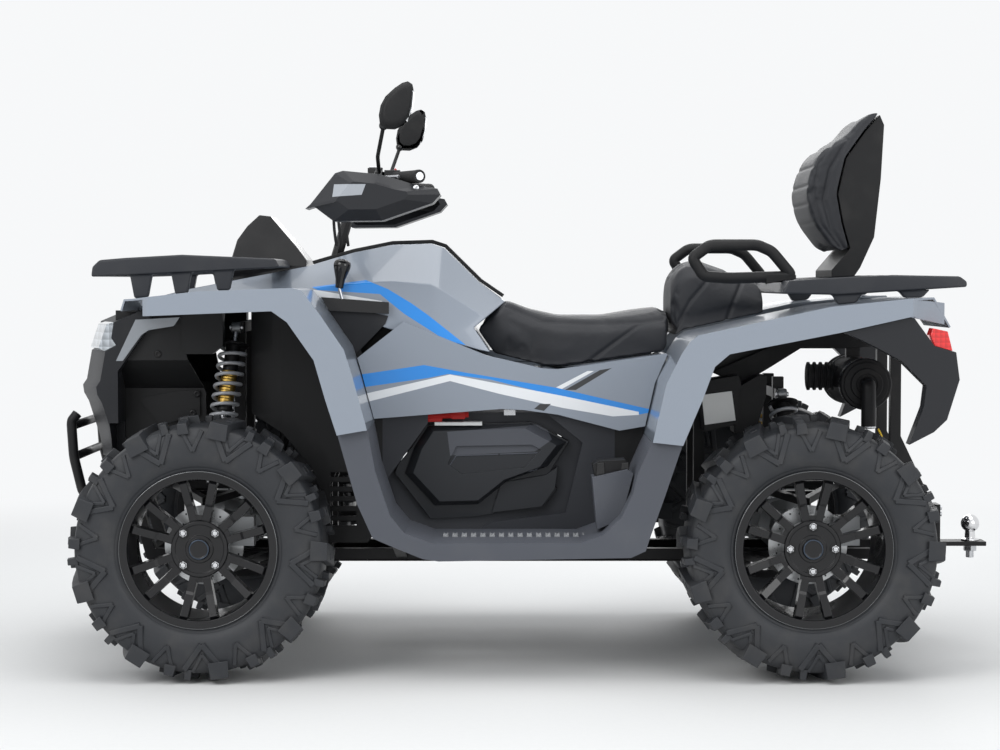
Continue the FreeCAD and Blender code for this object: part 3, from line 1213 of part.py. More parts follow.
def backrest():
    """Cushion of the passenger's backrest and the hard shell that holds it on the rear rack."""
    cushion_shares = [(1.146, 1.662), (1.119, 1.618), (1.097, 1.560), (1.059, 1.508), (1.036, 1.450),
                      (1.023, 1.364), (1.025, 1.297), (1.036, 1.220), (1.070, 1.118), (1.089, 1.093),
                      (1.100, 1.116), (1.088, 1.210), (1.078, 1.330), (1.092, 1.470), (1.125, 1.575),
                      (1.150, 1.640)]
    shift = SEAT_GAP * 1.2 / WHEELBASE
    shell_shares = [(along + shift, up) for along, up in cushion_shares[:-7:-1]]
    shell_shares += [(1.068, 1.030), (1.068, 1.0017), (1.108, 1.0066), (1.118, 1.040), (1.142, 1.160),
                     (1.153, 1.390), (1.158, 1.600)]
    pad = slab(cushion_shares, -BACKREST_HALF, BACKREST_HALF)
    back = slab(shell_shares, -BACKREST_HALF * 0.9, BACKREST_HALF * 0.9)
    return pad, back.cut(pad)


def grab_handle():
    """Left-hand handle: a loop of tube with its foot on the front bar of the rear rack."""
    loop_shares = [(0.880, 0.998), (0.835, 1.005), (0.815, 1.075), (0.845, 1.125), (0.925, 1.125),
                   (0.950, 1.100), (0.985, 1.005), (0.890, 0.998)]
    points = [at(pair, -GRAB_Y) for pair in loop_shares]
    ring = bent_tube(points, GRAB_RADIUS, GRAB_BEND, 2)
    close = rod(points[-1], points[0], GRAB_RADIUS)
    foot_shares = [(0.940, 0.975), (0.968, 0.9895), (0.990, 0.9930), (0.990, 1.010), (0.940, 1.010)]
    foot = slab(foot_shares, -GRAB_Y - GRAB_RADIUS, -GRAB_Y + GRAB_RADIUS)
    return fused([ring, close, foot])


# Front and rear details

def bumper():
    """Hoop before the nose: two side tubes joined by cross tubes and held at the frame's front."""
    y = BUMPER_HALF
    side_shares = [(-0.150, 0.125), (-0.205, 0.125), (-0.232, 0.160), (-0.247, 0.30), (-0.251, 0.440),
                   (-0.2405, 0.470)]
    points = [at(pair, -y) for pair in side_shares]
    points[0] = V(at((-0.150, 0)).x - RAIL_HALF - SEAT_GAP, -RAIL_Y, points[0].z)
    points.insert(1, points[0] - V(BUMPER_BEND, 0, 0))
    tube = bent_tube(points, BUMPER_RADIUS, BUMPER_BEND / 2)
    cross_shares = ((-0.247, 0.30), (-0.251, 0.420))
    cross = [rod(at(pair, -y), at(pair, y), BUMPER_RADIUS * 0.8) for pair in cross_shares]
    return fused([tube, mirrored(tube)] + cross)


def headlight():
    """Left-hand lens, set on the sloping face of the nose."""
    gap = SEAT_GAP * 1.2 / WHEELBASE
    lens_shares = [(along - gap, up) for along, up in NOSE_SHARES[1:5]] + [(-0.2315, 0.730), (-0.2175, 0.822)]
    return skin([swept(lens_shares, y) for y in (-NOSE_Y + OVERRUN, -NOSE_Y + 2 * LAMP_HALF)])


def tail_light():
    lens_shares = [(1.1935, 0.7505), (1.186, 0.790), (1.190, 0.815), (1.214, 0.803), (1.222, 0.7315)]
    return slab(lens_shares, -FENDER_Y + FENDER_BAND, -FENDER_Y + FENDER_BAND + COVER_DEPTH)


def silencer():
    """Drum across the tail with a stepped end, an outlet turned down and a corrugated inlet duct."""
    centre = at((1.110, 0.592), -SILENCER_LENGTH)
    drum = rod(centre, centre + ACROSS * SILENCER_LENGTH, SILENCER_RADIUS, 2 * ROD_SIDES)
    steps = [rod(centre - ACROSS * (SILENCER_STEP * (i + 1)), centre, SILENCER_RADIUS * share, 2 * ROD_SIDES)
             for i, share in enumerate((0.85, 0.62))]
    mouth = centre - ACROSS * (TAIL_PIPE_RADIUS * 2)
    pipe = tube([centre, mouth, mouth - UP * (SILENCER_RADIUS * 1.65)], TAIL_PIPE_RADIUS, ROD_SIDES)
    rail_top = at((0, TAIL_RAIL_SHARE)).z - RAIL_HALF - SEAT_GAP
    hanger = block(centre.x - RAIL_HALF, centre.x + RAIL_HALF,
                   -RAIL_Y - RAIL_HALF / 2, -RAIL_Y + RAIL_HALF / 2, centre.z, rail_top)
    inlet = centre + ACROSS * (SILENCER_LENGTH / 2)
    rings = []
    for i in range(2 * DUCT_RIBS):
        radius = DUCT_RADIUS if i % 2 else DUCT_RADIUS * 0.84
        reach = SILENCER_RADIUS * 1.96 - (SILENCER_RADIUS * 1.2) * i / (2 * DUCT_RIBS - 1)
        rings.append(ring_about(inlet + V(-reach, 0, SILENCER_STEP * 2), V(1, 0, 0), radius, ROD_SIDES))
    return fused([drum, pipe, hanger, skin(rings)] + steps)


def electrics_box():
    """Housings beside the seat rails, the front one with a blank plate."""
    y = -RAIL_Y - RAIL_HALF - SEAT_GAP
    front_shares = [(0.845, 0.600), (0.900, 0.620), (0.905, 0.590), (0.898, 0.430), (0.842, 0.400),
                    (0.835, 0.560)]
    rear_shares = [(0.891, 0.561), (0.934, 0.619), (0.949, 0.619), (0.949, 0.545), (0.930, 0.390),
                   (0.8945, 0.394)]
    plate_shares = [(0.838, 0.545), (0.888, 0.561), (0.894, 0.447), (0.8434, 0.430)]
    outer = y - DUCT_HALF * 3
    plate = slab(plate_shares, outer - SEAT_GAP * 5, y)
    return fused([slab(front_shares, outer, y), slab(rear_shares, outer + INNER_WALL, y), plate])


def gear_lever():
    """Selector on the left of the tank: gate, rod and tapered knob."""
    gate_shares = [(0.198, 0.872), (0.184, 0.925), (0.300, 0.905), (0.300, 0.860)]
    gate = slab(gate_shares, -PANEL_Y - COVER_DEPTH / 3, -PANEL_Y - SEAT_GAP)
    y = -PANEL_Y - COVER_DEPTH / 4
    foot, neck, top = at((0.222, 0.90), y), at((0.215, 0.960), y), at((0.222, 1.072), y)
    stem = rod(foot, neck, LEVER_RADIUS)
    rings = [ring_about(point, (top - neck).normalize(), KNOB_RADIUS * wide, ROD_SIDES)
             for point, wide in ((neck, 0.45), (neck + (top - neck) * 0.8, 0.95), (top, 0.75))]
    knob = skin(rings)
    return fused([gate, stem, knob])


def storage_box():
    """Locker at the rear of the footwell, with the latch on its lid."""
    locker_shares = [(0.690, 0.10), (0.650, 0.062), (0.642, 0.255), (0.700, 0.285), (0.7095, 0.270),
                     (0.7015, 0.2)]
    latch_shares = [(0.648, 0.255), (0.644, 0.300), (0.655, 0.314), (0.697, 0.318), (0.703, 0.284)]
    return fused([slab(locker_shares, -BOX_OUTER_Y + COVER_DEPTH, -BOX_INNER_Y),
                  slab(latch_shares, -BOX_OUTER_Y + COVER_DEPTH * 1.5, -BOX_INNER_Y - COVER_DEPTH / 2)])


def tow_hitch():
    """Drop bracket with a ball on its tongue, held on the frame's rear cross tube."""
    start = at((FRAME_SHARES[-1], 0)).x + RAIL_HALF * CROSS_SHARE + SEAT_GAP
    ball = at((1.334, 0.004))
    plate_top = ball.z - BALL_TOW_RADIUS * 1.8
    neck_x = at((1.285, 0)).x
    bar = block(start, neck_x, -TONGUE_HALF * 0.8, TONGUE_HALF * 0.8, at((0, 0.03)).z, at((0, 0.085)).z)
    drop = block(neck_x - TONGUE_THICKNESS, neck_x, -TONGUE_HALF, TONGUE_HALF, plate_top - TONGUE_THICKNESS,
                 at((0, 0.085)).z)
    tongue = block(neck_x - TONGUE_THICKNESS, ball.x + TONGUE_HALF * 1.2, -TONGUE_HALF, TONGUE_HALF,
                   plate_top - TONGUE_THICKNESS, plate_top)
    profile = [(0, -BALL_TOW_RADIUS)]
    for step in range(1, 6):
        angle = math.pi * step / 6
        profile.append((BALL_TOW_RADIUS * math.sin(angle), -BALL_TOW_RADIUS * math.cos(angle)))
    profile.append((0, BALL_TOW_RADIUS))
    sphere = ngon_ring(profile, HUB_FACETS)
    sphere.rotate(V(0, 0, 0), V(1, 0, 0), 90)
    sphere.translate(ball)
    neck = rod(V(ball.x, 0, plate_top - TONGUE_THICKNESS * 4), ball, BALL_TOW_RADIUS * 0.55)
    under = V(ball.x, 0, plate_top - TONGUE_THICKNESS * 2)
    nut = rod(under, under + UP * TONGUE_THICKNESS, BALL_TOW_RADIUS * 0.75, ROD_SIDES // 2)
    return fused([bar, drop, tongue, neck, nut, sphere])


def body():
    save("front_fenders", both_sides(front_fender()))
    save("rear_fenders", both_sides(rear_fender()))
    save("rear_flares", both_sides(rear_flare()))
    save("fascia", [nose()])
    save("footwells", both_sides(footwell()))
    save("tank_cover", [tank_cover()])
    save("spine_trim", [spine()])
    save("dash_cover", [dash_cover()])
    save("side_panels", both_sides(side_panel()))
    save("front_rack", [front_rack()])
    save("rear_rack", [rear_rack()])
    save("belt_cover", [belt_cover()])
    inner_panels()


def fittings():
    save("seat", [seat()])
    save("passenger_seat", [passenger_seat()])
    cushion, shell = backrest()
    save("backrest_pad", [cushion])
    save("backrest_shell", [shell])
    save("grab_handles", both_sides(grab_handle()))
    save("bumper", [bumper()])
    save("headlights", both_sides(headlight()))
    save("tail_lights", both_sides(tail_light()))
    save("silencer", [silencer()])
    save("electrics_box", [electrics_box()])
    save("gear_lever", [gear_lever()])
    save("tow_hitch", [tow_hitch()])


os.makedirs("parts", exist_ok=True)
wheels()
suspension()
steering()
chassis()
body()
fittings()
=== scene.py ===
"""Looks of the quad bike: rounded bodywork, wheels, seats, fittings, finishes, stage and camera."""

import json
import logging
import math
from dataclasses import dataclass
from enum import Enum
from typing import Any, Dict, Iterable, List, NamedTuple, Optional, Sequence, Tuple

import bmesh
import bpy
from mathutils import Matrix, Vector

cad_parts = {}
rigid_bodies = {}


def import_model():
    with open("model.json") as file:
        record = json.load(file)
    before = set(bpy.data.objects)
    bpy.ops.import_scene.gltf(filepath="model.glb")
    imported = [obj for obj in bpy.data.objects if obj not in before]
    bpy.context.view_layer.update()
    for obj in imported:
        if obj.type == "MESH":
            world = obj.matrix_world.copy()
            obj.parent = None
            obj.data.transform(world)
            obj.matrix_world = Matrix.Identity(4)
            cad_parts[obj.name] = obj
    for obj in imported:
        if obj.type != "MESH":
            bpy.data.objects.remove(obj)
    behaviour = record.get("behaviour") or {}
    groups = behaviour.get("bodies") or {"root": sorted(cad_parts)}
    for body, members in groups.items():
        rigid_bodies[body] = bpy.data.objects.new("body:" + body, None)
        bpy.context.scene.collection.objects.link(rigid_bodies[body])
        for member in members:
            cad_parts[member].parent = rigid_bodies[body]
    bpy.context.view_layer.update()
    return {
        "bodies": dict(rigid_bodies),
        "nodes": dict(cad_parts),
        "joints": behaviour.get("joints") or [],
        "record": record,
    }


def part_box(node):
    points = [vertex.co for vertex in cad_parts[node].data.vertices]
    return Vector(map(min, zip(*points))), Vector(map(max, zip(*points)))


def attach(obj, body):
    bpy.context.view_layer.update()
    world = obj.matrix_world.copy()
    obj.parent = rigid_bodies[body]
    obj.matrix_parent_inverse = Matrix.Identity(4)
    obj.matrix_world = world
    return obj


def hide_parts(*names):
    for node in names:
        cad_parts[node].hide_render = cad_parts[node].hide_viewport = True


Colour = Tuple[float, float, float]
Place = Tuple[float, float, float]
Point = Tuple[float, float]
Outline = Tuple[Point, ...]
Object = bpy.types.Object
Material = bpy.types.Material
Shape = bmesh.types.BMesh

LOG = logging.getLogger("quad_bike")


# Shader maths


class Expr:
    """A shader value that adds Math nodes when Python operators are used on it."""

    def __init__(self, graph: "Graph", socket: Any) -> None:
        """Keeps the graph and the output socket."""
        self.graph = graph
        self.socket = socket

    def _math(self, operation: str, first: Any, second: Any) -> "Expr":
        """One Math node of two values.

        Args:
            operation: the node's operation.
            first: first value, a number or an Expr.
            second: second value.

        Returns:
            The node's result.
        """
        return self.graph.node("ShaderNodeMath", {"operation": operation}, {0: first, 1: second})

    def __add__(self, other: Any) -> "Expr":
        """Sum."""
        return self._math("ADD", self, other)

    __radd__ = __add__

    def __sub__(self, other: Any) -> "Expr":
        """Difference."""
        return self._math("SUBTRACT", self, other)

    def __rsub__(self, other: Any) -> "Expr":
        """Difference from a number."""
        return self._math("SUBTRACT", other, self)

    def __mul__(self, other: Any) -> "Expr":
        """Product."""
        return self._math("MULTIPLY", self, other)

    __rmul__ = __mul__

    def __truediv__(self, other: Any) -> "Expr":
        """Quotient."""
        return self._math("DIVIDE", self, other)

    def least(self, other: Any) -> "Expr":
        """The smaller of two values."""
        return self._math("MINIMUM", self, other)

    def most(self, other: Any) -> "Expr":
        """The larger of two values."""
        return self._math("MAXIMUM", self, other)

    def wrapped(self, period: float) -> "Expr":
        """Remainder between zero and a period."""
        inputs = {0: self, 1: period, 2: 0.0}
        return self.graph.node("ShaderNodeMath", {"operation": "WRAP"}, inputs)

    def ramp(self, low: float, high: float) -> "Expr":
        """Smooth rise from 0 at one value to 1 at another.

        Args:
            low: where it leaves 0.
            high: where it reaches 1.

        Returns:
            The rise.
        """
        settings = {"interpolation_type": "SMOOTHSTEP"}
        inputs = {"Value": self, "From Min": low, "From Max": high}
        return self.graph.node("ShaderNodeMapRange", settings, inputs)


class Graph:
    """Node tree of one material or world."""

    def __init__(self, owner: Any) -> None:
        """Takes the tree of a material or world and clears it.

        Args:
            owner: the material or world.
        """
        owner.use_nodes = True
        self.owner = owner
        self.tree = owner.node_tree
        self.tree.nodes.clear()
        self._axes: Optional[List[Expr]] = None
        self._place: Optional[Expr] = None

    @classmethod
    def new(cls, name: str) -> "Graph":
        """Graph of a new material."""
        return cls(bpy.data.materials.new(name))

    def node(
        self, kind: str, settings: Dict[str, Any], inputs: Dict[Any, Any], output: Any = 0
    ) -> Expr:
        """Adds a node.

        Args:
            kind: the node's type.
            settings: its properties, set before its sockets.
            inputs: socket name or number, with a value or an Expr.
            output: name or number of the output wanted.

        Returns:
            That output.
        """
        made = self.tree.nodes.new(kind)
        for key, value in settings.items():
            setattr(made, key, value)
        for key, value in inputs.items():
            socket = made.inputs[key]
            if isinstance(value, Expr):
                self.tree.links.new(value.socket, socket)
            elif isinstance(value, tuple) and len(value) < len(socket.default_value):
                socket.default_value = (*value, 1.0)
            else:
                socket.default_value = value
        return Expr(self, made.outputs[output])

    def place(self) -> Expr:
        """Object coordinates, in metres.

        Returns:
            The coordinates.
        """
        if self._place is None:
            self._place = self.node("ShaderNodeTexCoord", {}, {}, "Object")
        return self._place

    def axes(self) -> List[Expr]:
        """X, Y and Z of the object coordinates.

        Returns:
            The three values.
        """
        if self._axes is None:
            split = self.node("ShaderNodeSeparateXYZ", {}, {0: self.place()}).socket.node
            self._axes = [Expr(self, output) for output in split.outputs]
        return self._axes

    def noise(self, scale: float, detail: float, stretch: Optional[Place] = None) -> Expr:
        """Noise on the object coordinates.

        Args:
            scale: its scale, per metre.
            detail: how many finer layers it has.
            stretch: a scale on each axis, if any.

        Returns:
            A value between 0 and 1.
        """
        place = self.place()
        if stretch is not None:
            place = self.node("ShaderNodeMapping", {}, {"Vector": place, "Scale": stretch})
        inputs = {"Vector": place, "Scale": scale, "Detail": detail}
        return self.node("ShaderNodeTexNoise", {}, inputs)

    def cells(self, scale: float) -> Expr:
        """Distance to the nearest cell centre of a Voronoi pattern."""
        inputs = {"Vector": self.place(), "Scale": scale}
        return self.node("ShaderNodeTexVoronoi", {}, inputs, "Distance")

    def mix(self, share: Any, first: Any, second: Any) -> Expr:
        """Colour between two, by a share."""
        inputs = {0: share, 6: first, 7: second}
        return self.node("ShaderNodeMix", {"data_type": "RGBA"}, inputs, 2)

    def bump(self, height: Expr, depth: float) -> Expr:
        """Normal bent by a height, which is 1 at a depth in metres."""
        inputs = {"Height": height, "Distance": depth, "Strength": 1.0}
        return self.node("ShaderNodeBump", {}, inputs)

    def surface(self, **inputs: Any) -> Material:
        """Principled surface.

        Args:
            **inputs: the shader's sockets, an underscore standing for a space.

        Returns:
            The finished material.
        """
        named = {key.replace("_", " "): value for key, value in inputs.items()}
        self.output(self.node("ShaderNodeBsdfPrincipled", {}, named))
        return self.owner

    def output(self, shader: Expr, kind: str = "ShaderNodeOutputMaterial") -> None:
        """Links a shader to the output node of a material or a world."""
        self.tree.links.new(shader.socket, self.tree.nodes.new(kind).inputs["Surface"])


# Finishes


def scaled(colour: Colour, factor: float) -> Colour:
    """A colour made lighter or darker."""
    return (colour[0] * factor, colour[1] * factor, colour[2] * factor)


@dataclass(frozen=True)
class Moulding:
    """Moulded plastic or rubber with fine grain, faint blotches and dust in its grain."""

    colour: Colour
    roughness: float = 0.55
    grain_scale: float = 1400.0
    grain_depth: float = 0.00018
    dust: float = 0.04
    specular: float = 0.24
    dust_colour: Colour = (0.30, 0.29, 0.27)
    blotch_scale: float = 9.0
    blotch_gloss: float = 0.12

    def material(self, name: str) -> Material:
        """Makes the material.

        Args:
            name: the material's name.

        Returns:
            The material.
        """
        graph = Graph.new(name)
        grain = graph.noise(self.grain_scale, 2.0)
        blotch = graph.noise(self.blotch_scale, 4.0)
        patches = blotch.ramp(0.45, 0.75) * self.dust
        specks = grain.ramp(0.55, 0.8) * (self.dust / 2)
        return graph.surface(
            Base_Color=graph.mix(patches + specks, self.colour, self.dust_colour),
            Roughness=(blotch * self.blotch_gloss) + (self.roughness - self.blotch_gloss / 2),
            Normal=graph.bump(grain, self.grain_depth),
            Specular_IOR_Level=self.specular,
        )


@dataclass(frozen=True)
class Metal:
    """Bare, cast or coated metal with fine marks, grime and small changes of gloss."""

    colour: Colour
    roughness: float = 0.35
    metallic: float = 1.0
    mark_scale: float = 220.0
    mark_depth: float = 0.00012
    grime: float = 0.15
    specular: float = 0.3
    grime_colour: Colour = (0.10, 0.09, 0.08)
    blotch_scale: float = 14.0
    mark_gloss: float = 0.14
    blotch_gloss: float = 0.10

    def material(self, name: str) -> Material:
        """Makes the material.

        Args:
            name: the material's name.

        Returns:
            The material.
        """
        graph = Graph.new(name)
        marks = graph.noise(self.mark_scale, 5.0)
        blotch = graph.noise(self.blotch_scale, 4.0)
        dirty = blotch.ramp(0.5, 0.8) * self.grime
        smoothest = self.roughness - (self.mark_gloss + self.blotch_gloss) / 2
        return graph.surface(
            Base_Color=graph.mix(dirty, self.colour, self.grime_colour),
            Roughness=(marks * self.mark_gloss) + (blotch * self.blotch_gloss) + smoothest,
            Metallic=self.metallic,
            Normal=graph.bump(marks, self.mark_depth),
            Specular_IOR_Level=self.specular,
        )


@dataclass(frozen=True)
class Patch:
    """Convex patch of colour on both sides of the body, given by its corners' X and Z."""

    colour: Colour
    corners: Outline
    edge: float = 0.0006

    def mask(self, graph: Graph) -> Expr:
        """1 inside the outline and 0 outside, with a soft edge.

        Args:
            graph: the material's graph.

        Returns:
            The mask.
        """
        x, _, z = graph.axes()
        sides = list(zip(self.corners, self.corners[1:] + self.corners[:1]))
        area = sum(a[0] * b[1] - b[0] * a[1] for a, b in sides)
        way = 1.0 if area > 0 else -1.0
        inside: Optional[Expr] = None
        for a, b in sides:
            length = math.hypot(b[0] - a[0], b[1] - a[1])
            nx, nz = -(b[1] - a[1]) / length * way, (b[0] - a[0]) / length * way
            depth = (x * nx) + (z * nz) - (a[0] * nx + a[1] * nz)
            inside = depth if inside is None else inside.least(depth)
        return inside.ramp(-self.edge / 2, self.edge / 2)


@dataclass(frozen=True)
class Paint:
    """Gloss paint with fine flake under clear coat, with patches of other colours."""

    colour: Colour
    roughness: float = 0.30
    coat: float = 0.7
    specular: float = 0.4
    patches: Tuple[Patch, ...] = ()
    coat_roughness: float = 0.06
    flake_scale: float = 2600.0
    flake_share: float = 0.10
    flake_lift: float = 1.5
    peel_scale: float = 260.0
    peel_depth: float = 0.00006
    blotch_scale: float = 5.0
    blotch_gloss: float = 0.08

    def material(self, name: str) -> Material:
        """Makes the material.

        Args:
            name: the material's name.

        Returns:
            The material.
        """
        graph = Graph.new(name)
        flake = graph.cells(self.flake_scale).ramp(0.1, 0.7) * self.flake_share
        blotch = graph.noise(self.blotch_scale, 3.0)
        colour = graph.mix(flake, self.colour, scaled(self.colour, self.flake_lift))
        for patch in self.patches:
            colour = graph.mix(patch.mask(graph), colour, patch.colour)
        return graph.surface(
            Base_Color=colour,
            Roughness=(blotch * self.blotch_gloss) + (self.roughness - self.blotch_gloss / 2),
            Coat_Weight=self.coat,
            Coat_Roughness=self.coat_roughness,
            Normal=graph.bump(graph.noise(self.peel_scale, 1.0), self.peel_depth),
            Specular_IOR_Level=self.specular,
        )


@dataclass(frozen=True)
class TyreRubber:
    """Tyre compound: matt, with dust in blotches and in its grain."""

    colour: Colour = (0.024, 0.026, 0.030)
    dust_colour: Colour = (0.20, 0.185, 0.165)
    smoothest: float = 0.42
    blotch_gloss: float = 0.18
    blotch_dust: float = 0.09
    grain_dust: float = 0.05
    grain_scale: float = 700.0
    grain_depth: float = 0.0003
    blotch_scale: float = 16.0
    specular: float = 0.35

    def material(self, name: str) -> Material:
        """Makes the material.

        Args:
            name: the material's name.

        Returns:
            The material.
        """
        graph = Graph.new(name)
        grain = graph.noise(self.grain_scale, 3.0)
        blotch = graph.noise(self.blotch_scale, 5.0)
        patches = blotch.ramp(0.42, 0.78) * self.blotch_dust
        specks = grain.ramp(0.5, 0.8) * self.grain_dust
        return graph.surface(
            Base_Color=graph.mix(patches + specks, self.colour, self.dust_colour),
            Roughness=(blotch * self.blotch_gloss) + self.smoothest,
            Normal=graph.bump(grain, self.grain_depth),
            Specular_IOR_Level=self.specular,
        )


@dataclass(frozen=True)
class SeatVinyl:
    """Seat cover of grained vinyl with shallow creases along the seat."""

    colour: Colour = (0.014, 0.015, 0.018)
    wear: float = 0.35
    wear_lift: float = 2.2
    smoothest: float = 0.46
    blotch_gloss: float = 0.10
    pore_gloss: float = 0.10
    pore_scale: float = 620.0
    pore_share: float = 0.6
    crease_scale: float = 60.0
    crease_share: float = 0.8
    crease_stretch: Place = (1.0, 0.5, 2.0)
    blotch_scale: float = 7.0
    depth: float = 0.00035
    specular: float = 0.32

    def material(self, name: str) -> Material:
        """Makes the material.

        Args:
            name: the material's name.

        Returns:
            The material.
        """
        graph = Graph.new(name)
        pores = graph.cells(self.pore_scale)
        blotch = graph.noise(self.blotch_scale, 3.0)
        crease = graph.noise(self.crease_scale, 4.0, self.crease_stretch)
        worn = scaled(self.colour, self.wear_lift)
        height = (pores.ramp(0.05, 0.5) * self.pore_share) + (crease * self.crease_share)
        gloss = (blotch * self.blotch_gloss) + (pores * self.pore_gloss)
        return graph.surface(
            Base_Color=graph.mix(blotch * self.wear, self.colour, worn),
            Roughness=gloss + self.smoothest,
            Normal=graph.bump(height, self.depth),
            Specular_IOR_Level=self.specular,
        )


@dataclass(frozen=True)
class Lens:
    """Lamp cover: clear or coloured glass over a faceted reflector."""

    colour: Colour
    glow: float
    facet: float = 0.012
    shade: float = 0.45
    smoothest: float = 0.06
    facet_gloss: float = 0.05
    facet_depth: float = 0.001
    metallic: float = 0.35

    def material(self, name: str) -> Material:
        """Makes the material.

        Args:
            name: the material's name.

        Returns:
            The material.
        """
        graph = Graph.new(name)
        x, _, z = graph.axes()
        grid = (x.wrapped(self.facet) + z.wrapped(self.facet)) / (2 * self.facet)
        return graph.surface(
            Base_Color=graph.mix(grid.ramp(0.2, 0.9), scaled(self.colour, self.shade), self.colour),
            Roughness=(grid * self.facet_gloss) + self.smoothest,
            Metallic=self.metallic,
            Coat_Weight=1.0,
            Emission_Color=self.colour,
            Emission_Strength=self.glow,
            Normal=graph.bump(grid, self.facet_depth),
        )


GREY = (0.232, 0.264, 0.312)
BLUE = (0.008, 0.235, 0.700)
WHITE = (0.78, 0.80, 0.82)
BLACK = (0.009, 0.0092, 0.010)
CHARCOAL = (0.015, 0.016, 0.019)

TANK_STRIPES = (
    Patch(BLUE, ((-0.5706, 0.9611), (-0.4323, 0.9790), (-0.3964, 0.9431), (-0.5552, 0.9534))),
    Patch(BLUE, ((-0.4323, 0.9790), (-0.3759, 0.9559), (-0.3170, 0.9201), (-0.3349, 0.8929),
                 (-0.3964, 0.9431))),
    Patch(BLUE, ((-0.3170, 0.9201), (-0.2734, 0.8893), (-0.1761, 0.8125), (-0.2248, 0.8227),
                 (-0.3349, 0.8929))),
    Patch(WHITE, ((-0.5809, 0.9572), (-0.3913, 0.9252), (-0.3759, 0.9060), (-0.5655, 0.9367))),
)
FLANK_STRIPES = (
    Patch(BLUE, ((-0.4531, 0.7371), (-0.2825, 0.7626), (-0.2723, 0.7295), (-0.4506, 0.7040))),
    Patch(BLUE, ((-0.2825, 0.7626), (-0.1781, 0.7435), (-0.1145, 0.7257), (-0.2214, 0.7397))),
    Patch(BLUE, ((-0.2825, 0.7626), (-0.2214, 0.7397), (-0.2723, 0.7295))),
    Patch(BLUE, ((-0.1781, 0.7435), (0.0510, 0.7053), (0.3120, 0.6455), (0.2675, 0.6365),
                 (0.0510, 0.6849), (-0.1145, 0.7257))),
    Patch(WHITE, ((-0.4582, 0.6836), (-0.2163, 0.7384), (-0.2163, 0.7218), (-0.4582, 0.6607))),
    Patch(WHITE, ((-0.2163, 0.7384), (-0.0890, 0.7142), (-0.0890, 0.6887), (-0.2163, 0.7218))),
    Patch(WHITE, ((-0.0890, 0.7142), (0.0714, 0.6836), (0.0714, 0.6531), (-0.0890, 0.6887))),
    Patch(WHITE, ((0.0714, 0.6836), (0.2649, 0.6429), (0.2649, 0.6353), (0.1987, 0.6315),
                  (0.0714, 0.6531))),
    Patch(WHITE, ((0.0536, 0.7053), (0.1338, 0.7473), (0.1503, 0.7473), (0.0689, 0.7015))),
    Patch(CHARCOAL, ((0.0765, 0.6989), (0.1656, 0.7498), (0.1962, 0.7549), (0.1045, 0.6989))),
    Patch(CHARCOAL, ((-0.0024, 0.6505), (0.0128, 0.6633), (0.0409, 0.6633), (0.0230, 0.6455))),
)
GUARD_PANEL = (
    Patch((0.34, 0.36, 0.39), ((-0.4997, 1.2155), (-0.4205, 1.2155), (-0.4304, 1.1893),
                               (-0.5034, 1.1843))),
)
PANEL_SHEEN = (
    Patch((0.034, 0.036, 0.042), ((-0.390, 0.665), (-0.390, 0.300), (0.205, 0.300),
                                  (0.205, 0.665))),
)
FLARE_TOP = (Patch(GREY, ((0.900, 0.945), (1.012, 0.945), (1.012, 0.8600), (0.900, 0.8890))),)
SHIELD_RECESS = (
    Patch((0.085, 0.090, 0.105), ((-0.2247, 0.5899), (0.0262, 0.6078), (0.0441, 0.5694),
                                  (0.0006, 0.5387), (-0.2170, 0.5284))),
)


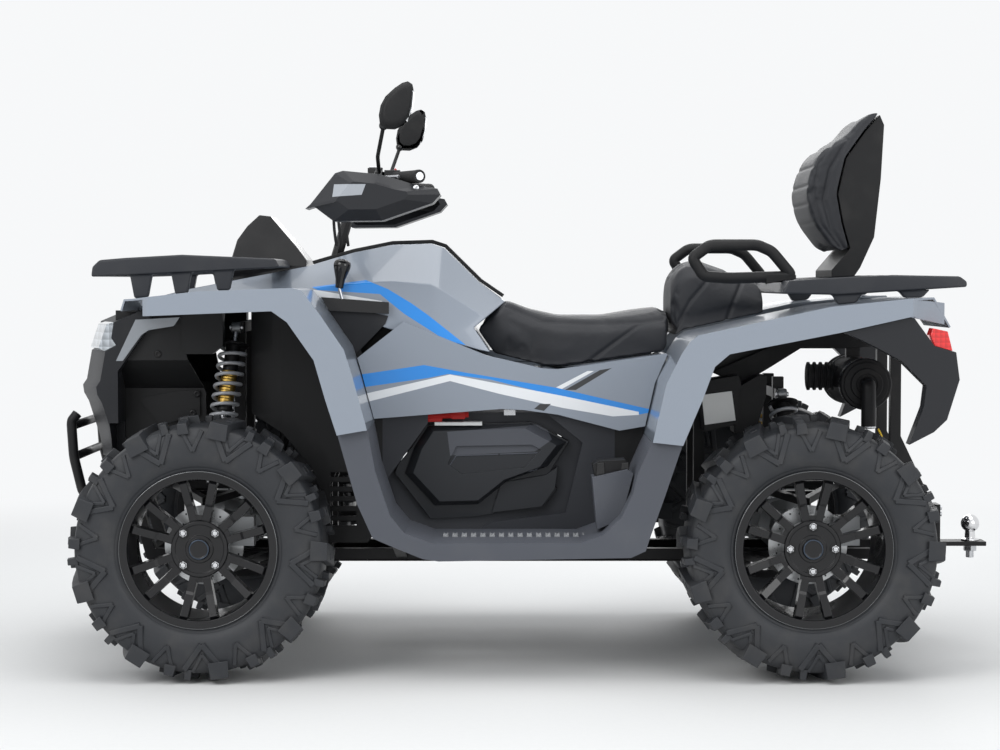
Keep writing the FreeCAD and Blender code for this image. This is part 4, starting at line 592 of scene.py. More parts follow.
class Finish(Enum):
    """Every finish of the vehicle."""

    RUBBER = TyreRubber()
    VINYL = SeatVinyl()
    RIM = Paint((0.005, 0.005, 0.006), roughness=0.28, coat=0.45, specular=0.2)
    BODY = Paint(GREY)
    TANK = Paint(GREY, patches=TANK_STRIPES)
    FLANK = Paint(GREY, patches=FLANK_STRIPES)
    GUARD = Paint(CHARCOAL, roughness=0.42, coat=0.15, specular=0.25, patches=GUARD_PANEL)
    INNER = Paint(BLACK, roughness=0.5, coat=0.05, specular=0.24, patches=PANEL_SHEEN)
    FLARE = Paint(CHARCOAL, roughness=0.45, coat=0.1, specular=0.24, patches=FLARE_TOP)
    BELT = Paint(
        (0.024, 0.026, 0.030), roughness=0.45, coat=0.1, specular=0.25, patches=SHIELD_RECESS
    )
    SILVER = Paint((0.25, 0.27, 0.295), roughness=0.25)
    PALE = Moulding(
        (0.72, 0.73, 0.72), roughness=0.35, grain_scale=900.0, grain_depth=0.00003, dust=0.05
    )
    PEG = Moulding((0.30, 0.31, 0.32), roughness=0.5)
    YELLOW = Moulding((0.75, 0.50, 0.03), roughness=0.45)
    PLASTIC = Moulding(BLACK)
    FASCIA = Moulding(CHARCOAL, roughness=0.48)
    FOOTWELL = Moulding((0.082, 0.088, 0.104), roughness=0.50)
    LATCH = Moulding((0.010, 0.010, 0.011), roughness=0.35)
    RACK = Moulding((0.030, 0.032, 0.037), roughness=0.45)
    GLOSS = Moulding(
        (0.006, 0.006, 0.007), roughness=0.14, grain_scale=600.0, grain_depth=0.00002, dust=0.02,
        specular=0.5,
    )
    GRIP = Moulding(
        (0.018, 0.018, 0.019), roughness=0.7, grain_scale=900.0, grain_depth=0.0004
    )
    BOOT = Moulding((0.022, 0.022, 0.023), roughness=0.65)
    RED = Moulding((0.42, 0.012, 0.010), roughness=0.4)
    FRAME = Metal((0.008, 0.008, 0.009), roughness=0.40, metallic=0.0, specular=0.25)
    STEEL = Metal((0.52, 0.53, 0.55), roughness=0.28)
    DISC = Metal((0.46, 0.47, 0.48), roughness=0.30, mark_scale=400.0)
    CAST = Metal(
        (0.30, 0.31, 0.32), roughness=0.5, metallic=0.9, mark_scale=300.0, mark_depth=0.0004
    )
    ENGINE = Metal(
        (0.09, 0.09, 0.095), roughness=0.5, metallic=0.8, mark_scale=240.0, mark_depth=0.0004
    )
    SPRING = Metal((0.42, 0.43, 0.45), roughness=0.35, metallic=0.2)
    SILENCER = Metal((0.012, 0.012, 0.013), roughness=0.45, metallic=0.1, specular=0.2)
    GOLD = Metal((0.62, 0.40, 0.10), roughness=0.30)
    CHROME = Metal(
        (0.72, 0.72, 0.73), roughness=0.14, mark_scale=120.0, mark_depth=0.00002, grime=0.05
    )
    EDGE = Metal(
        (0.16, 0.165, 0.17), roughness=0.25, mark_scale=300.0, mark_depth=0.00003, grime=0.05
    )
    NUT = Metal(
        (0.66, 0.67, 0.69), roughness=0.22, mark_scale=300.0, mark_depth=0.00004, grime=0.05
    )
    CAP_RING = Metal(
        (0.05, 0.065, 0.09), roughness=0.25, metallic=0.8, mark_scale=300.0, mark_depth=0.00003,
        grime=0.05,
    )
    MIRROR = Metal(
        (0.80, 0.82, 0.84), roughness=0.05, mark_scale=30.0, mark_depth=0.0, grime=0.0
    )
    HEADLAMP = Lens((0.50, 0.54, 0.58), glow=0.12, facet=0.018)
    TAILLAMP = Lens((0.62, 0.02, 0.02), glow=0.5)

    def material(self) -> Material:
        """The finish's material, made once."""
        name = "look_" + self.name.lower()
        return bpy.data.materials.get(name) or self.value.material(name)


# Shapes


IDENTITY = Matrix.Identity(4)
MIRROR = Matrix.Scale(-1.0, 4, (0.0, 1.0, 0.0))
BOTH = (IDENTITY, MIRROR)
UP = Vector((0.0, 0.0, 1.0))
SAME_POINT = 1e-6
SAME_CORNER = 0.00002
SAME_FACE_DEG = 0.8
PANEL_EDGE_DEG = 28.0
PIECE_EDGE_DEG = 35.0

AXLE_HEIGHT = 0.325
FRONT_AXLE_X = -0.820
REAR_AXLE_X = 0.672
WHEELBASE = REAR_AXLE_X - FRONT_AXLE_X
BODY_RISE = 0.660

FRAME: Dict[str, Any] = {}
BODY_OF: Dict[str, str] = {}


def share_x(share: float) -> float:
    """X of a share of the wheelbase behind the front axle."""
    return FRONT_AXLE_X + WHEELBASE * share


def share_z(share: float) -> float:
    """Z of a share of the body's rise above the axles."""
    return AXLE_HEIGHT + BODY_RISE * share


def shared(points: Sequence[Point]) -> List[Point]:
    """X and Z of points given as shares of the wheelbase and of the body's rise."""
    return [(share_x(along), share_z(up)) for along, up in points]


def paired(place: Matrix) -> Tuple[Matrix, Matrix]:
    """A place on the left and its mirror image on the right."""
    return (place, MIRROR @ place)


def polar(radius: float, angle: float) -> Point:
    """X and Y of a radius and an angle in radians."""
    return (radius * math.cos(angle), radius * math.sin(angle))


def raised(profile: Sequence[Point], base: float, way: float = 1.0) -> List[Point]:
    """Profile of radius and height moved to a base, its heights downwards where the way is -1."""
    return [(radius, base + way * height) for radius, height in profile]


def lofted(rings: Sequence[Sequence[Sequence[float]]]) -> Shape:
    """Closed shape, extruded from a first ring of corners through the next ones.

    Args:
        rings: rings of the same number of corners.

    Returns:
        The shape.
    """
    shape = bmesh.new()
    face = shape.faces.new([shape.verts.new(corner) for corner in rings[0]])
    order = list(face.verts)
    for ring in rings[1:]:
        made = bmesh.ops.extrude_face_region(shape, geom=[face])["geom"]
        face = next(item for item in made if isinstance(item, bmesh.types.BMFace))
        fresh = list(face.verts)
        order = [min(fresh, key=lambda vert: (vert.co - old.co).length) for old in order]
        for vert, corner in zip(order, ring):
            vert.co = corner
    return shape


def plate(outline: Sequence[Point], y_from: float, y_to: float) -> Shape:
    """Flat piece of a side outline of X and Z, between two distances across."""
    return lofted([[(x, y, z) for x, z in outline] for y in (y_from, y_to)])


def block(size: Sequence[float], centre: Sequence[float]) -> Shape:
    """Box of three sizes about a centre.

    Args:
        size: its sizes on X, Y and Z.
        centre: its centre.

    Returns:
        The shape.
    """
    shape = bmesh.new()
    bmesh.ops.create_cube(shape, size=1.0)
    bmesh.ops.scale(shape, vec=size, verts=shape.verts)
    bmesh.ops.translate(shape, vec=centre, verts=shape.verts)
    return shape


def facing(start: Sequence[float], end: Sequence[float]) -> Matrix:
    """Place at one point with the Z axis towards another."""
    way = Vector(end) - Vector(start)
    return Matrix.Translation(start) @ way.to_track_quat("Z", "Y").to_matrix().to_4x4()


def drum(
    start: Sequence[float], end: Sequence[float], radius: float,
    far_radius: Optional[float] = None, segments: int = 32,
) -> Shape:
    """Round bar or cone between two points.

    Args:
        start: centre of the first end.
        end: centre of the other end.
        radius: radius at the first end.
        far_radius: radius at the other end, if it differs.
        segments: faces round it.

    Returns:
        The shape.
    """
    shape = bmesh.new()
    length = (Vector(end) - Vector(start)).length
    bmesh.ops.create_cone(
        shape, cap_ends=True, segments=segments, radius1=radius, depth=length,
        radius2=radius if far_radius is None else far_radius,
        matrix=facing(start, end) @ Matrix.Translation((0.0, 0.0, length / 2)),
    )
    return shape


def turned(profile: Sequence[Point], steps: int = 64, closed: bool = False) -> Shape:
    """Profile of radius and height turned about the Z axis.

    Args:
        profile: points of radius and height, from pole to pole, or a loop.
        steps: faces round it.
        closed: whether the profile is a loop.

    Returns:
        The shape.
    """
    shape = bmesh.new()
    verts = [shape.verts.new((radius, 0.0, height)) for radius, height in profile]
    edges = [shape.edges.new(pair) for pair in zip(verts, verts[1:])]
    if closed:
        edges.append(shape.edges.new((verts[-1], verts[0])))
    bmesh.ops.spin(
        shape, geom=verts + edges, cent=(0, 0, 0), axis=(0, 0, 1), angle=math.tau, steps=steps,
        use_merge=True, use_duplicate=False,
    )
    bmesh.ops.remove_doubles(shape, verts=shape.verts, dist=SAME_POINT)
    return shape


def spun(shape: Shape, angle: float) -> Shape:
    """A shape turned about the Z axis.

    Args:
        shape: the shape, turned here.
        angle: the angle in radians.

    Returns:
        The same shape.
    """
    turn = Matrix.Rotation(angle, 3, "Z")
    bmesh.ops.rotate(shape, cent=(0, 0, 0), matrix=turn, verts=shape.verts)
    return shape


def eased(line: Sequence[Vector], reach: float, most: float = 0.45) -> List[Vector]:
    """Control points of a line whose inner corners are rounded.

    Args:
        line: the line's corners.
        reach: how far from a corner its rounding starts.
        most: largest share of a side that the rounding takes.

    Returns:
        The control points.
    """
    control = [line[0]]
    for before, corner, after in zip(line, line[1:], line[2:]):
        into, out = before - corner, after - corner
        control += [
            corner + into * min(reach / into.length, most),
            corner,
            corner + out * min(reach / out.length, most),
        ]
    return control + [line[-1]]


def pipe(
    points: Sequence[Sequence[float]], radius: float, reach: float = 0.0, sides: int = 3
) -> Shape:
    """Closed round tube along a line of points.

    Args:
        points: the line, or its corners.
        radius: the tube's radius.
        reach: how far from a corner its rounding starts, or 0 where the points are control points.
        sides: faces in a quarter of its section.

    Returns:
        The shape.
    """
    control = [Vector(point) for point in points]
    if reach:
        control = eased(control, reach)
    line = bpy.data.curves.new("line", "CURVE")
    line.dimensions = "3D"
    line.bevel_depth = radius
    line.bevel_resolution = sides
    line.use_fill_caps = True
    line.resolution_u = 5
    spline = line.splines.new("NURBS")
    spline.points.add(len(control) - 1)
    for knot, place in zip(spline.points, control):
        knot.co = (*place, 1.0)
    spline.order_u = 3
    spline.use_endpoint_u = True
    holder = bpy.data.objects.new("line", line)
    data = bpy.data.meshes.new_from_object(holder)
    shape = bmesh.new()
    shape.from_mesh(data)
    bmesh.ops.remove_doubles(shape, verts=shape.verts, dist=SAME_POINT)
    bpy.data.meshes.remove(data)
    bpy.data.objects.remove(holder)
    bpy.data.curves.remove(line)
    return shape


def ball(centre: Sequence[float], radius: float) -> Shape:
    """Ball about a centre.

    Args:
        centre: its centre.
        radius: its radius.

    Returns:
        The shape.
    """
    shape = bmesh.new()
    bmesh.ops.create_uvsphere(shape, u_segments=24, v_segments=14, radius=radius)
    bmesh.ops.translate(shape, vec=centre, verts=shape.verts)
    return shape


def linked(name: str, shape: Shape, materials: Sequence[Material]) -> Object:
    """Object from a bmesh, with its materials.

    Args:
        name: the piece's name.
        shape: the mesh, freed here.
        materials: one for each material index.

    Returns:
        The object, at the origin.
    """
    data = bpy.data.meshes.new(name)
    shape.to_mesh(data)
    shape.free()
    for material in materials:
        data.materials.append(material)
    made = bpy.data.objects.new(name, data)
    bpy.context.scene.collection.objects.link(made)
    return made


def add_bevel(piece: Object, width: float, segments: int, angle: float) -> None:
    """Rounds a piece's sharp edges and weights its normals.

    Args:
        piece: the object.
        width: bevel width in metres.
        segments: faces across the bevel.
        angle: edges sharper than this are rounded, in degrees.
    """
    bevel = piece.modifiers.new("rounded", "BEVEL")
    bevel.width = width
    bevel.segments = segments
    bevel.limit_method = "ANGLE"
    bevel.angle_limit = math.radians(angle)
    bevel.miter_outer = "MITER_ARC"
    bevel.use_clamp_overlap = True
    weighted = piece.modifiers.new("weighted", "WEIGHTED_NORMAL")
    weighted.keep_sharp = True


def stand_for(piece: Object, *nodes: str) -> Object:
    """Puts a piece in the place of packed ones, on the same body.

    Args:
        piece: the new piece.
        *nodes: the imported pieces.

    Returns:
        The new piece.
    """
    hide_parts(*nodes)
    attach(piece, BODY_OF[nodes[0]])
    return piece


def merged_copy(node: str, dissolve: bool = False) -> Shape:
    """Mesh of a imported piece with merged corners.

    Args:
        node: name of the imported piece.
        dissolve: whether flat faces are joined, not for faces with holes.

    Returns:
        The mesh.
    """
    shape = bmesh.new()
    shape.from_mesh(FRAME["nodes"][node].data)
    bmesh.ops.remove_doubles(shape, verts=shape.verts, dist=SAME_CORNER)
    if dissolve:
        bmesh.ops.dissolve_limit(
            shape, angle_limit=math.radians(SAME_FACE_DEG), verts=shape.verts, edges=shape.edges,
            delimit={"NORMAL"},
        )
    return shape


def softened(
    node: str, finish: Finish, width: float, segments: int = 2, dissolve: bool = False
) -> Object:
    """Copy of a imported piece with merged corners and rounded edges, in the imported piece's stead.

    Args:
        node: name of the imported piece.
        finish: its finish.
        width: bevel width in metres.
        segments: faces across the bevel.
        dissolve: whether flat faces are joined first.

    Returns:
        The new piece.
    """
    shape = merged_copy(node, dissolve)
    for face in shape.faces:
        face.smooth = True
    piece = linked(node + "_soft", shape, [finish.material()])
    add_bevel(piece, width, segments, PANEL_EDGE_DEG)
    return stand_for(piece, node)


class Piece:
    """A piece under construction: shapes in one mesh, each with its own finish."""

    def __init__(self, name: str) -> None:
        """Starts an empty piece.

        Args:
            name: the piece's name.
        """
        self.name = name
        self.mesh = bmesh.new()
        self.finishes: List[Finish] = []

    def add(
        self, shape: Shape, finish: Finish, places: Iterable[Matrix] = (IDENTITY,),
        smooth: bool = True,
    ) -> None:
        """Adds a shape at one or more places.

        Args:
            shape: the shape, freed here.
            finish: its finish.
            places: where it stands; a mirroring place is allowed.
            smooth: whether its faces are shaded smooth.
        """
        if finish not in self.finishes:
            self.finishes.append(finish)
        bmesh.ops.recalc_face_normals(shape, faces=shape.faces)
        for face in shape.faces:
            face.material_index = self.finishes.index(finish)
            face.smooth = smooth
        data = bpy.data.meshes.new("shape")
        shape.to_mesh(data)
        shape.free()
        for place in places:
            copy = data.copy()
            copy.transform(place)
            if place.determinant() < 0:
                copy.flip_normals()
            self.mesh.from_mesh(copy)
            bpy.data.meshes.remove(copy)
        bpy.data.meshes.remove(data)

    def done(self, body: str, bevel: float = 0.0, segments: int = 2) -> Object:
        """Makes the object of a new piece.

        Args:
            body: the body it rides on.
            bevel: width of its rounded edges, or 0.
            segments: faces across the bevel.

        Returns:
            The object.
        """
        made = self._object(bevel, segments)
        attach(made, body)
        return made

    def instead_of(self, node: str, bevel: float = 0.0, segments: int = 2) -> Object:
        """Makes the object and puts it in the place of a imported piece."""
        return stand_for(self._object(bevel, segments), node)

    def _object(self, bevel: float, segments: int) -> Object:
        """The object with its materials, bevelled if asked.

        Args:
            bevel: width of its rounded edges, or 0.
            segments: faces across the bevel.

        Returns:
            The object.
        """
        materials = [finish.material() for finish in self.finishes]
        made = linked(self.name, self.mesh, materials)
        if bevel:
            add_bevel(made, bevel, segments, PIECE_EDGE_DEG)
        return made


# Wheels


class SideBars(NamedTuple):
    """Two raised bars on a sidewall that start at one point and spread outwards."""

    inner: float
    outer: float
    spread: float
    width: float
    lift: float
    pitches: float


class TreadBlock(NamedTuple):
    """Block on the tread between two shares of the half width, each with its own top."""

    low: float
    near: float
    near_top: float
    far: float
    far_top: float
    width: float
    pitches: float


class LugStation(NamedTuple):
    """Section of a main lug at a share of the half width."""

    share: float
    low: float
    fall: float
    width: float


@dataclass
class Wheel:
    """One wheel: tyre, rim and hub with brake disc, turned about its own axis."""

    corner: str
    width: float
    x: float
    y: float
    radius: float = AXLE_HEIGHT
    seat_radius: float = 0.178
    lip_radius: float = 0.193
    lip_width: float = 0.009
    bore_radius: float = 0.171
    edge_proud: float = 0.0004
    rim_share: float = 0.84
    shoulder: float = 0.009
    pitches: int = 18
    lug_share: float = 0.46
    lug_corner: float = 0.8125
    lug_draft: float = 0.86
    block_draft: float = 0.8
    bar_draft: float = 0.6
    bar_root: float = 0.004
    hub_radius: float = 0.070
    setback: float = 0.030
    nuts: int = 4
    nut_circle: float = 0.055
    spoke_pairs: int = 6
    spoke_spread: float = 12.5
    spoke_draft: float = 0.82
    disc_radius: float = 0.098
    disc_setback: float = 0.062
    disc_thickness: float = 0.005
    disc_holes: int = 24
    axle_radius: float = 0.0135
    hub_back: float = 0.0263
    lug: Tuple[LugStation, ...] = (
        LugStation(-0.25, 0.298, 0.0, 0.92), LugStation(0.30, 0.298, 0.0015, 1.0),
        LugStation(0.68, 0.290, 0.004, 1.0), LugStation(1.0, 0.2724, 0.0084, 0.96),
    )
    bars: Tuple[SideBars, ...] = (
        SideBars(0.2280, 0.2920, 0.160, 0.0210, 0.0082, 0.62),
        SideBars(0.2520, 0.2960, 0.090, 0.0130, 0.0064, 0.62),
        SideBars(0.2420, 0.2920, 0.085, 0.0150, 0.0066, 1.62),
    )
    blocks: Tuple[TreadBlock, ...] = (
        TreadBlock(0.284, 0.62, 0.3165, 0.975, 0.3105, 0.54, 0.954),
        TreadBlock(0.300, 0.34, 0.3215, 0.52, 0.3215, 0.46, 0.954),
        TreadBlock(0.298, -0.16, 0.3225, 0.10, 0.3225, 0.50, 0.954),
        TreadBlock(0.298, -0.56, 0.3210, -0.34, 0.3210, 0.42, 0.954),
        TreadBlock(0.290, 0.60, 0.3200, 0.90, 0.3155, 0.36, -0.62),
        TreadBlock(0.290, 0.14, 0.3200, 0.40, 0.3205, 0.36, -0.50),
    )

    def __post_init__(self) -> None:
        """Works out where the wheel stands, its own Z axis pointing outwards, and its halves."""
        upright = Matrix(((1, 0, 0), (0, 0, -1), (0, 1, 0))).to_4x4()
        left = Matrix.Translation((self.x, -self.y, self.radius)) @ upright
        self.places = (MIRROR @ left,) if self.corner.endswith("right") else (left,)
        self.half = self.width / 2
        self.rim_half = self.half * self.rim_share
        self.face = self.rim_half - self.setback
        self.pitch = math.tau / self.pitches
        self.lug_width = self.pitch * self.radius * self.lug_share
        self.lug_reach = self.lug_width * self.lug_corner
        self.lug_top = math.sqrt(self.radius ** 2 - self.lug_reach ** 2)

    def build(self) -> List[Object]:
        """Makes the tyre, the rim and the hub."""
        return [self.tyre(), self.rim(), self.hub()]

    def wall(self) -> List[Point]:
        """Outer half of the tyre's section: radius and height.

        Returns:
            Points of radius and height, from the bead to the tread.
        """
        half = self.half - self.shoulder
        bead = self.rim_half - self.lip_width
        gap = half - bead
        return [
            (self.seat_radius, bead - 0.004), (0.1900, bead), (0.1965, bead + gap * 0.16),
            (0.2010, bead + gap * 0.20), (0.2060, bead + gap * 0.48), (0.2180, bead + gap * 0.80),
            (0.2330, half * 0.990), (0.2460, half), (0.2610, half * 0.996), (0.2740, half * 0.984),
            (0.2860, half * 0.958), (0.2960, half * 0.910), (0.3000, half * 0.840),
            (0.3030, half * 0.680), (0.3050, half * 0.400), (0.3056, half * 0.100),
        ]

    def wall_height(self, radius: float) -> float:
        """Height of the sidewall at a radius that lies on it.

        Args:
            radius: the radius.

        Returns:
            The height.
        """
        line = self.wall()
        for (r0, h0), (r1, h1) in zip(line, line[1:]):
            if r0 <= radius <= r1:
                return h0 + (h1 - h0) * (radius - r0) / (r1 - r0)
        raise ValueError(f"no sidewall at radius {radius}")

    def bar(self, start: Point, end: Point, width: float, lift: float) -> Shape:
        """Raised bar on the sidewall.

        Args:
            start: radius and angle of its inner end.
            end: radius and angle of its outer end.
            width: its width at the foot.
            lift: its height over the wall.

        Returns:
            The shape.
        """
        points = [Vector((*polar(r, a), self.wall_height(r))) for r, a in (start, end)]
        across = (points[1] - points[0]).cross(UP).normalized() * (width / 2)
        root, top = UP * self.bar_root, UP * lift
        return lofted([
            [
                point - across - root, point + across - root,
                point + across * self.bar_draft + top, point - across * self.bar_draft + top,
            ]
            for point in points
        ])

    def section(
        self, low: float, top: float, width: float, draft: float, share: float, shift: float = 0.0
    ) -> List[Vector]:
        """Four corners of a tread block's section.

        Args:
            low: radius of its foot.
            top: radius of its top.
            width: its width at the foot.
            draft: share of the width at the top.
            share: where it stands, as a share of the half width.
            shift: how far it lies beside the wheel's X axis.

        Returns:
            The corners.
        """
        height = self.half * share
        return [
            Vector((radius, shift + side * width / 2, height))
            for radius, side in ((low, -1), (low, 1), (top, draft), (top, -draft))
        ]

    def main_lug(self) -> Shape:
        """Lug of the outer side at angle 0, from past the middle over the shoulder, slanted.

        Returns:
            The shape.
        """
        return lofted([
            self.section(
                station.low, self.lug_top - station.fall, self.lug_width * station.width,
                self.lug_draft, station.share, self.lug_width * (0.45 * station.share - 0.2),
            )
            for station in self.lug
        ])

    def tread_block(self, entry: TreadBlock) -> Shape:
        """A tread block at angle 0.

        Args:
            entry: the block's sizes.

        Returns:
            The shape.
        """
        width = self.lug_width * entry.width
        return lofted([
            self.section(entry.low, top, width, self.block_draft, share)
            for share, top in ((entry.near, entry.near_top), (entry.far, entry.far_top))
        ])

    def tyre(self) -> Object:
        """Casing, lugs, tread blocks and the bars of both sidewalls, sides taking turns.

        Returns:
            The piece.
        """
        piece = Piece("tyre_" + self.corner + "_full")
        flip = Matrix.Scale(-1.0, 4, UP)
        inner_side = tuple(place @ flip for place in self.places)
        outer = self.wall()
        casing = outer + [(r, -h) for r, h in reversed(outer)]
        piece.add(turned(casing, 96, True), Finish.RUBBER, self.places)
        lean = math.atan2(self.lug_reach, self.lug_top)
        for i in range(self.pitches):
            start = self.pitch * i
            lug_angle = start + self.pitch / 2 + lean
            places = self.places if i % 2 else inner_side
            piece.add(spun(self.main_lug(), lug_angle), Finish.RUBBER, places, False)
            for bars in self.bars:
                middle = start + self.pitch * bars.pitches
                for side in (-1, 1):
                    end = (bars.outer, middle + side * bars.spread)
                    bar = self.bar((bars.inner, middle), end, bars.width, bars.lift)
                    piece.add(bar, Finish.RUBBER, places, False)
            for entry in self.blocks:
                shape = spun(self.tread_block(entry), lug_angle + self.pitch * entry.pitches)
                piece.add(shape, Finish.RUBBER, places, False)
        return piece.instead_of("tyre_" + self.corner, bevel=0.0016)

    def rim(self) -> Object:
        """Barrel with rolled lips, hub face with cap and nuts, and forked spoke pairs.

        Returns:
            The piece.
        """
        piece = Piece("rim_" + self.corner + "_full")
        self.barrel(piece)
        self.cap(piece)
        for i in range(self.nuts):
            turn = i + (0.5 if "front" in self.corner else 0.0)
            self.nut(piece, *polar(self.nut_circle, math.tau * turn / self.nuts))
        for pair in range(self.spoke_pairs):
            self.spokes(piece, 90.0 - 360.0 / self.spoke_pairs * pair)
        return piece.instead_of("rim_" + self.corner, bevel=0.0018, segments=3)

    def barrel(self, piece: Piece) -> None:
        """Barrel between the rolled lips, and the bright edge of the outer one.

        Args:
            piece: the rim under construction.
        """
        half, bead = self.rim_half, self.rim_half - self.lip_width
        outer = [
            (self.bore_radius, half - 0.004), (self.bore_radius + 0.002, half - 0.001),
            (0.1760, half - 0.0005), (0.1880, half - 0.0005), (0.1915, half),
            (self.lip_radius, half - 0.0015), (self.lip_radius, bead + 0.001),
            (self.lip_radius - 0.002, bead), (self.seat_radius, bead),
        ]
        section = outer + [(r, -h) for r, h in reversed(outer)]
        piece.add(turned(section, 96, True), Finish.RIM, self.places)
        bright = [
            (0.1908, half), (0.1922, half - 0.0002), (0.1928, half - 0.0012),
            (0.1912, half - 0.0012),
        ]
        edge = turned(raised(bright, self.edge_proud), 96, True)
        piece.add(edge, Finish.EDGE, self.places)

    def cap(self, piece: Piece) -> None:
        """Hub face with its cap and the cap's coloured ring.

        Args:
            piece: the rim under construction.
        """
        radius = self.hub_radius
        profile = (
            (0.0, -0.026), (0.066, -0.026), (radius, -0.022), (radius, -0.003),
            (0.0675, 0.0), (0.0600, 0.0), (0.0585, -0.0018), (0.0345, -0.0018),
            (0.0330, 0.002), (0.0270, 0.002), (0.0256, 0.0035), (0.0256, 0.0115),
            (0.0238, 0.0135), (0.0205, 0.0135), (0.0195, 0.0125), (0.0, 0.0125),
        )
        ring = ((0.0212, 0.0136), (0.0236, 0.0138), (0.0248, 0.0126), (0.0225, 0.0120))
        piece.add(turned(raised(profile, self.face)), Finish.RIM, self.places)
        coloured = turned(raised(ring, self.face), closed=True)
        piece.add(coloured, Finish.CAP_RING, self.places)

    def nut(self, piece: Piece, x: float, y: float) -> None:
        """Wheel nut with a rounded end in a raised seat.

        Args:
            piece: the rim under construction.
            x: X of its centre in the wheel's own axes.
            y: Y of its centre.
        """
        low, shoulder, top = self.face - 0.004, self.face + 0.006, self.face + 0.0095
        hexagon = drum((x, y, low), (x, y, shoulder), 0.0095, segments=6)
        piece.add(hexagon, Finish.NUT, self.places, False)
        end = drum((x, y, shoulder), (x, y, top), 0.0078, 0.0050, 20)
        piece.add(end, Finish.NUT, self.places)
        seat = [(0.0122, -0.002), (0.0135, -0.0014), (0.0135, 0.0003), (0.0122, 0.0008)]
        around = Matrix.Translation((x, y, self.face))
        places = tuple(place @ around for place in self.places)
        piece.add(turned(seat, 24, True), Finish.RIM, places)

    def spokes(self, piece: Piece, middle: float) -> None:
        """Forked pair of spokes about an angle in degrees, with the web between their roots.

        Args:
            piece: the rim under construction.
            middle: the angle.
        """
        face, half = self.face, self.rim_half
        stations = (
            (0.045, face - 0.010, 0.014, 0.0125), (0.074, face - 0.003, 0.020, 0.0118),
            (0.106, face + 0.001, 0.022, 0.0112), (0.113, face + 0.0065, 0.022, 0.0112),
            (0.165, half - 0.0060, 0.024, 0.0116), (0.1722, half - 0.0115, 0.020, 0.0112),
        )
        for side in (-1, 1):
            spoke = lofted([
                [
                    (r, -wide, top - deep), (r, wide, top - deep),
                    (r, wide * self.spoke_draft, top), (r, -wide * self.spoke_draft, top),
                ]
                for r, top, deep, wide in stations
            ])
            angle = math.radians(middle - side * self.spoke_spread)
            piece.add(spun(spoke, angle), Finish.RIM, self.places, False)
        web = lofted([
            [(r, -wide, top - 0.016), (r, wide, top - 0.016), (r, wide, top), (r, -wide, top)]
            for r, top, wide in (
                (0.050, face - 0.010, 0.014), (0.071, face - 0.0045, 0.0175),
                (0.082, face - 0.004, 0.0130),
            )
        ])
        piece.add(spun(web, math.radians(middle)), Finish.RIM, self.places, False)

    def hub(self) -> Object:
        """Hub barrel, brake disc with vent holes drawn as black plugs of painted shade, and its
        carrier.

        Returns:
            The piece.
        """
        piece = Piece("hub_" + self.corner + "_full")
        back = self.face - self.hub_back
        disc = back - self.disc_setback
        low = disc - self.disc_thickness
        section = [
            (self.axle_radius, back), (0.063, back), (0.063, back - 0.013), (0.046, back - 0.016),
            (0.042, back - 0.020), (0.042, disc + 0.008), (0.052, disc + 0.004), (0.060, disc),
            (self.disc_radius, disc), (self.disc_radius, low), (self.axle_radius, low),
        ]
        piece.add(turned(section, closed=True), Finish.DISC, self.places)
        for i in range(self.disc_holes):
            x, y = polar(0.072 + 0.008 * (i % 3), math.tau * i / self.disc_holes)
            # Each vent hole is a black plug, painted shade where the real disc is open.
            hole = drum((x, y, low - 0.0002), (x, y, disc + 0.0002), 0.0032, segments=10)
            piece.add(hole, Finish.PLASTIC, self.places)
        return piece.instead_of("hub_" + self.corner, bevel=0.0008, segments=1)


@dataclass
class Wheels:
    """The four wheels."""

    front_width: float = 0.226
    rear_width: float = 0.262
    outside: float = 0.605

    def build(self) -> List[Object]:
        """Makes each wheel.

        Returns:
            The pieces.
        """
        made = []
        for end, width, x in (
            ("front", self.front_width, FRONT_AXLE_X), ("rear", self.rear_width, REAR_AXLE_X)
        ):
            for side in ("left", "right"):
                made += Wheel(end + "_" + side, width, x, self.outside - width / 2).build()
        return made


# Suspension


class Strut(NamedTuple):
    """Spring and damper on the left: the centres of its two eyes and the turns of its coil."""

    top: Place
    bottom: Place
    turns: int


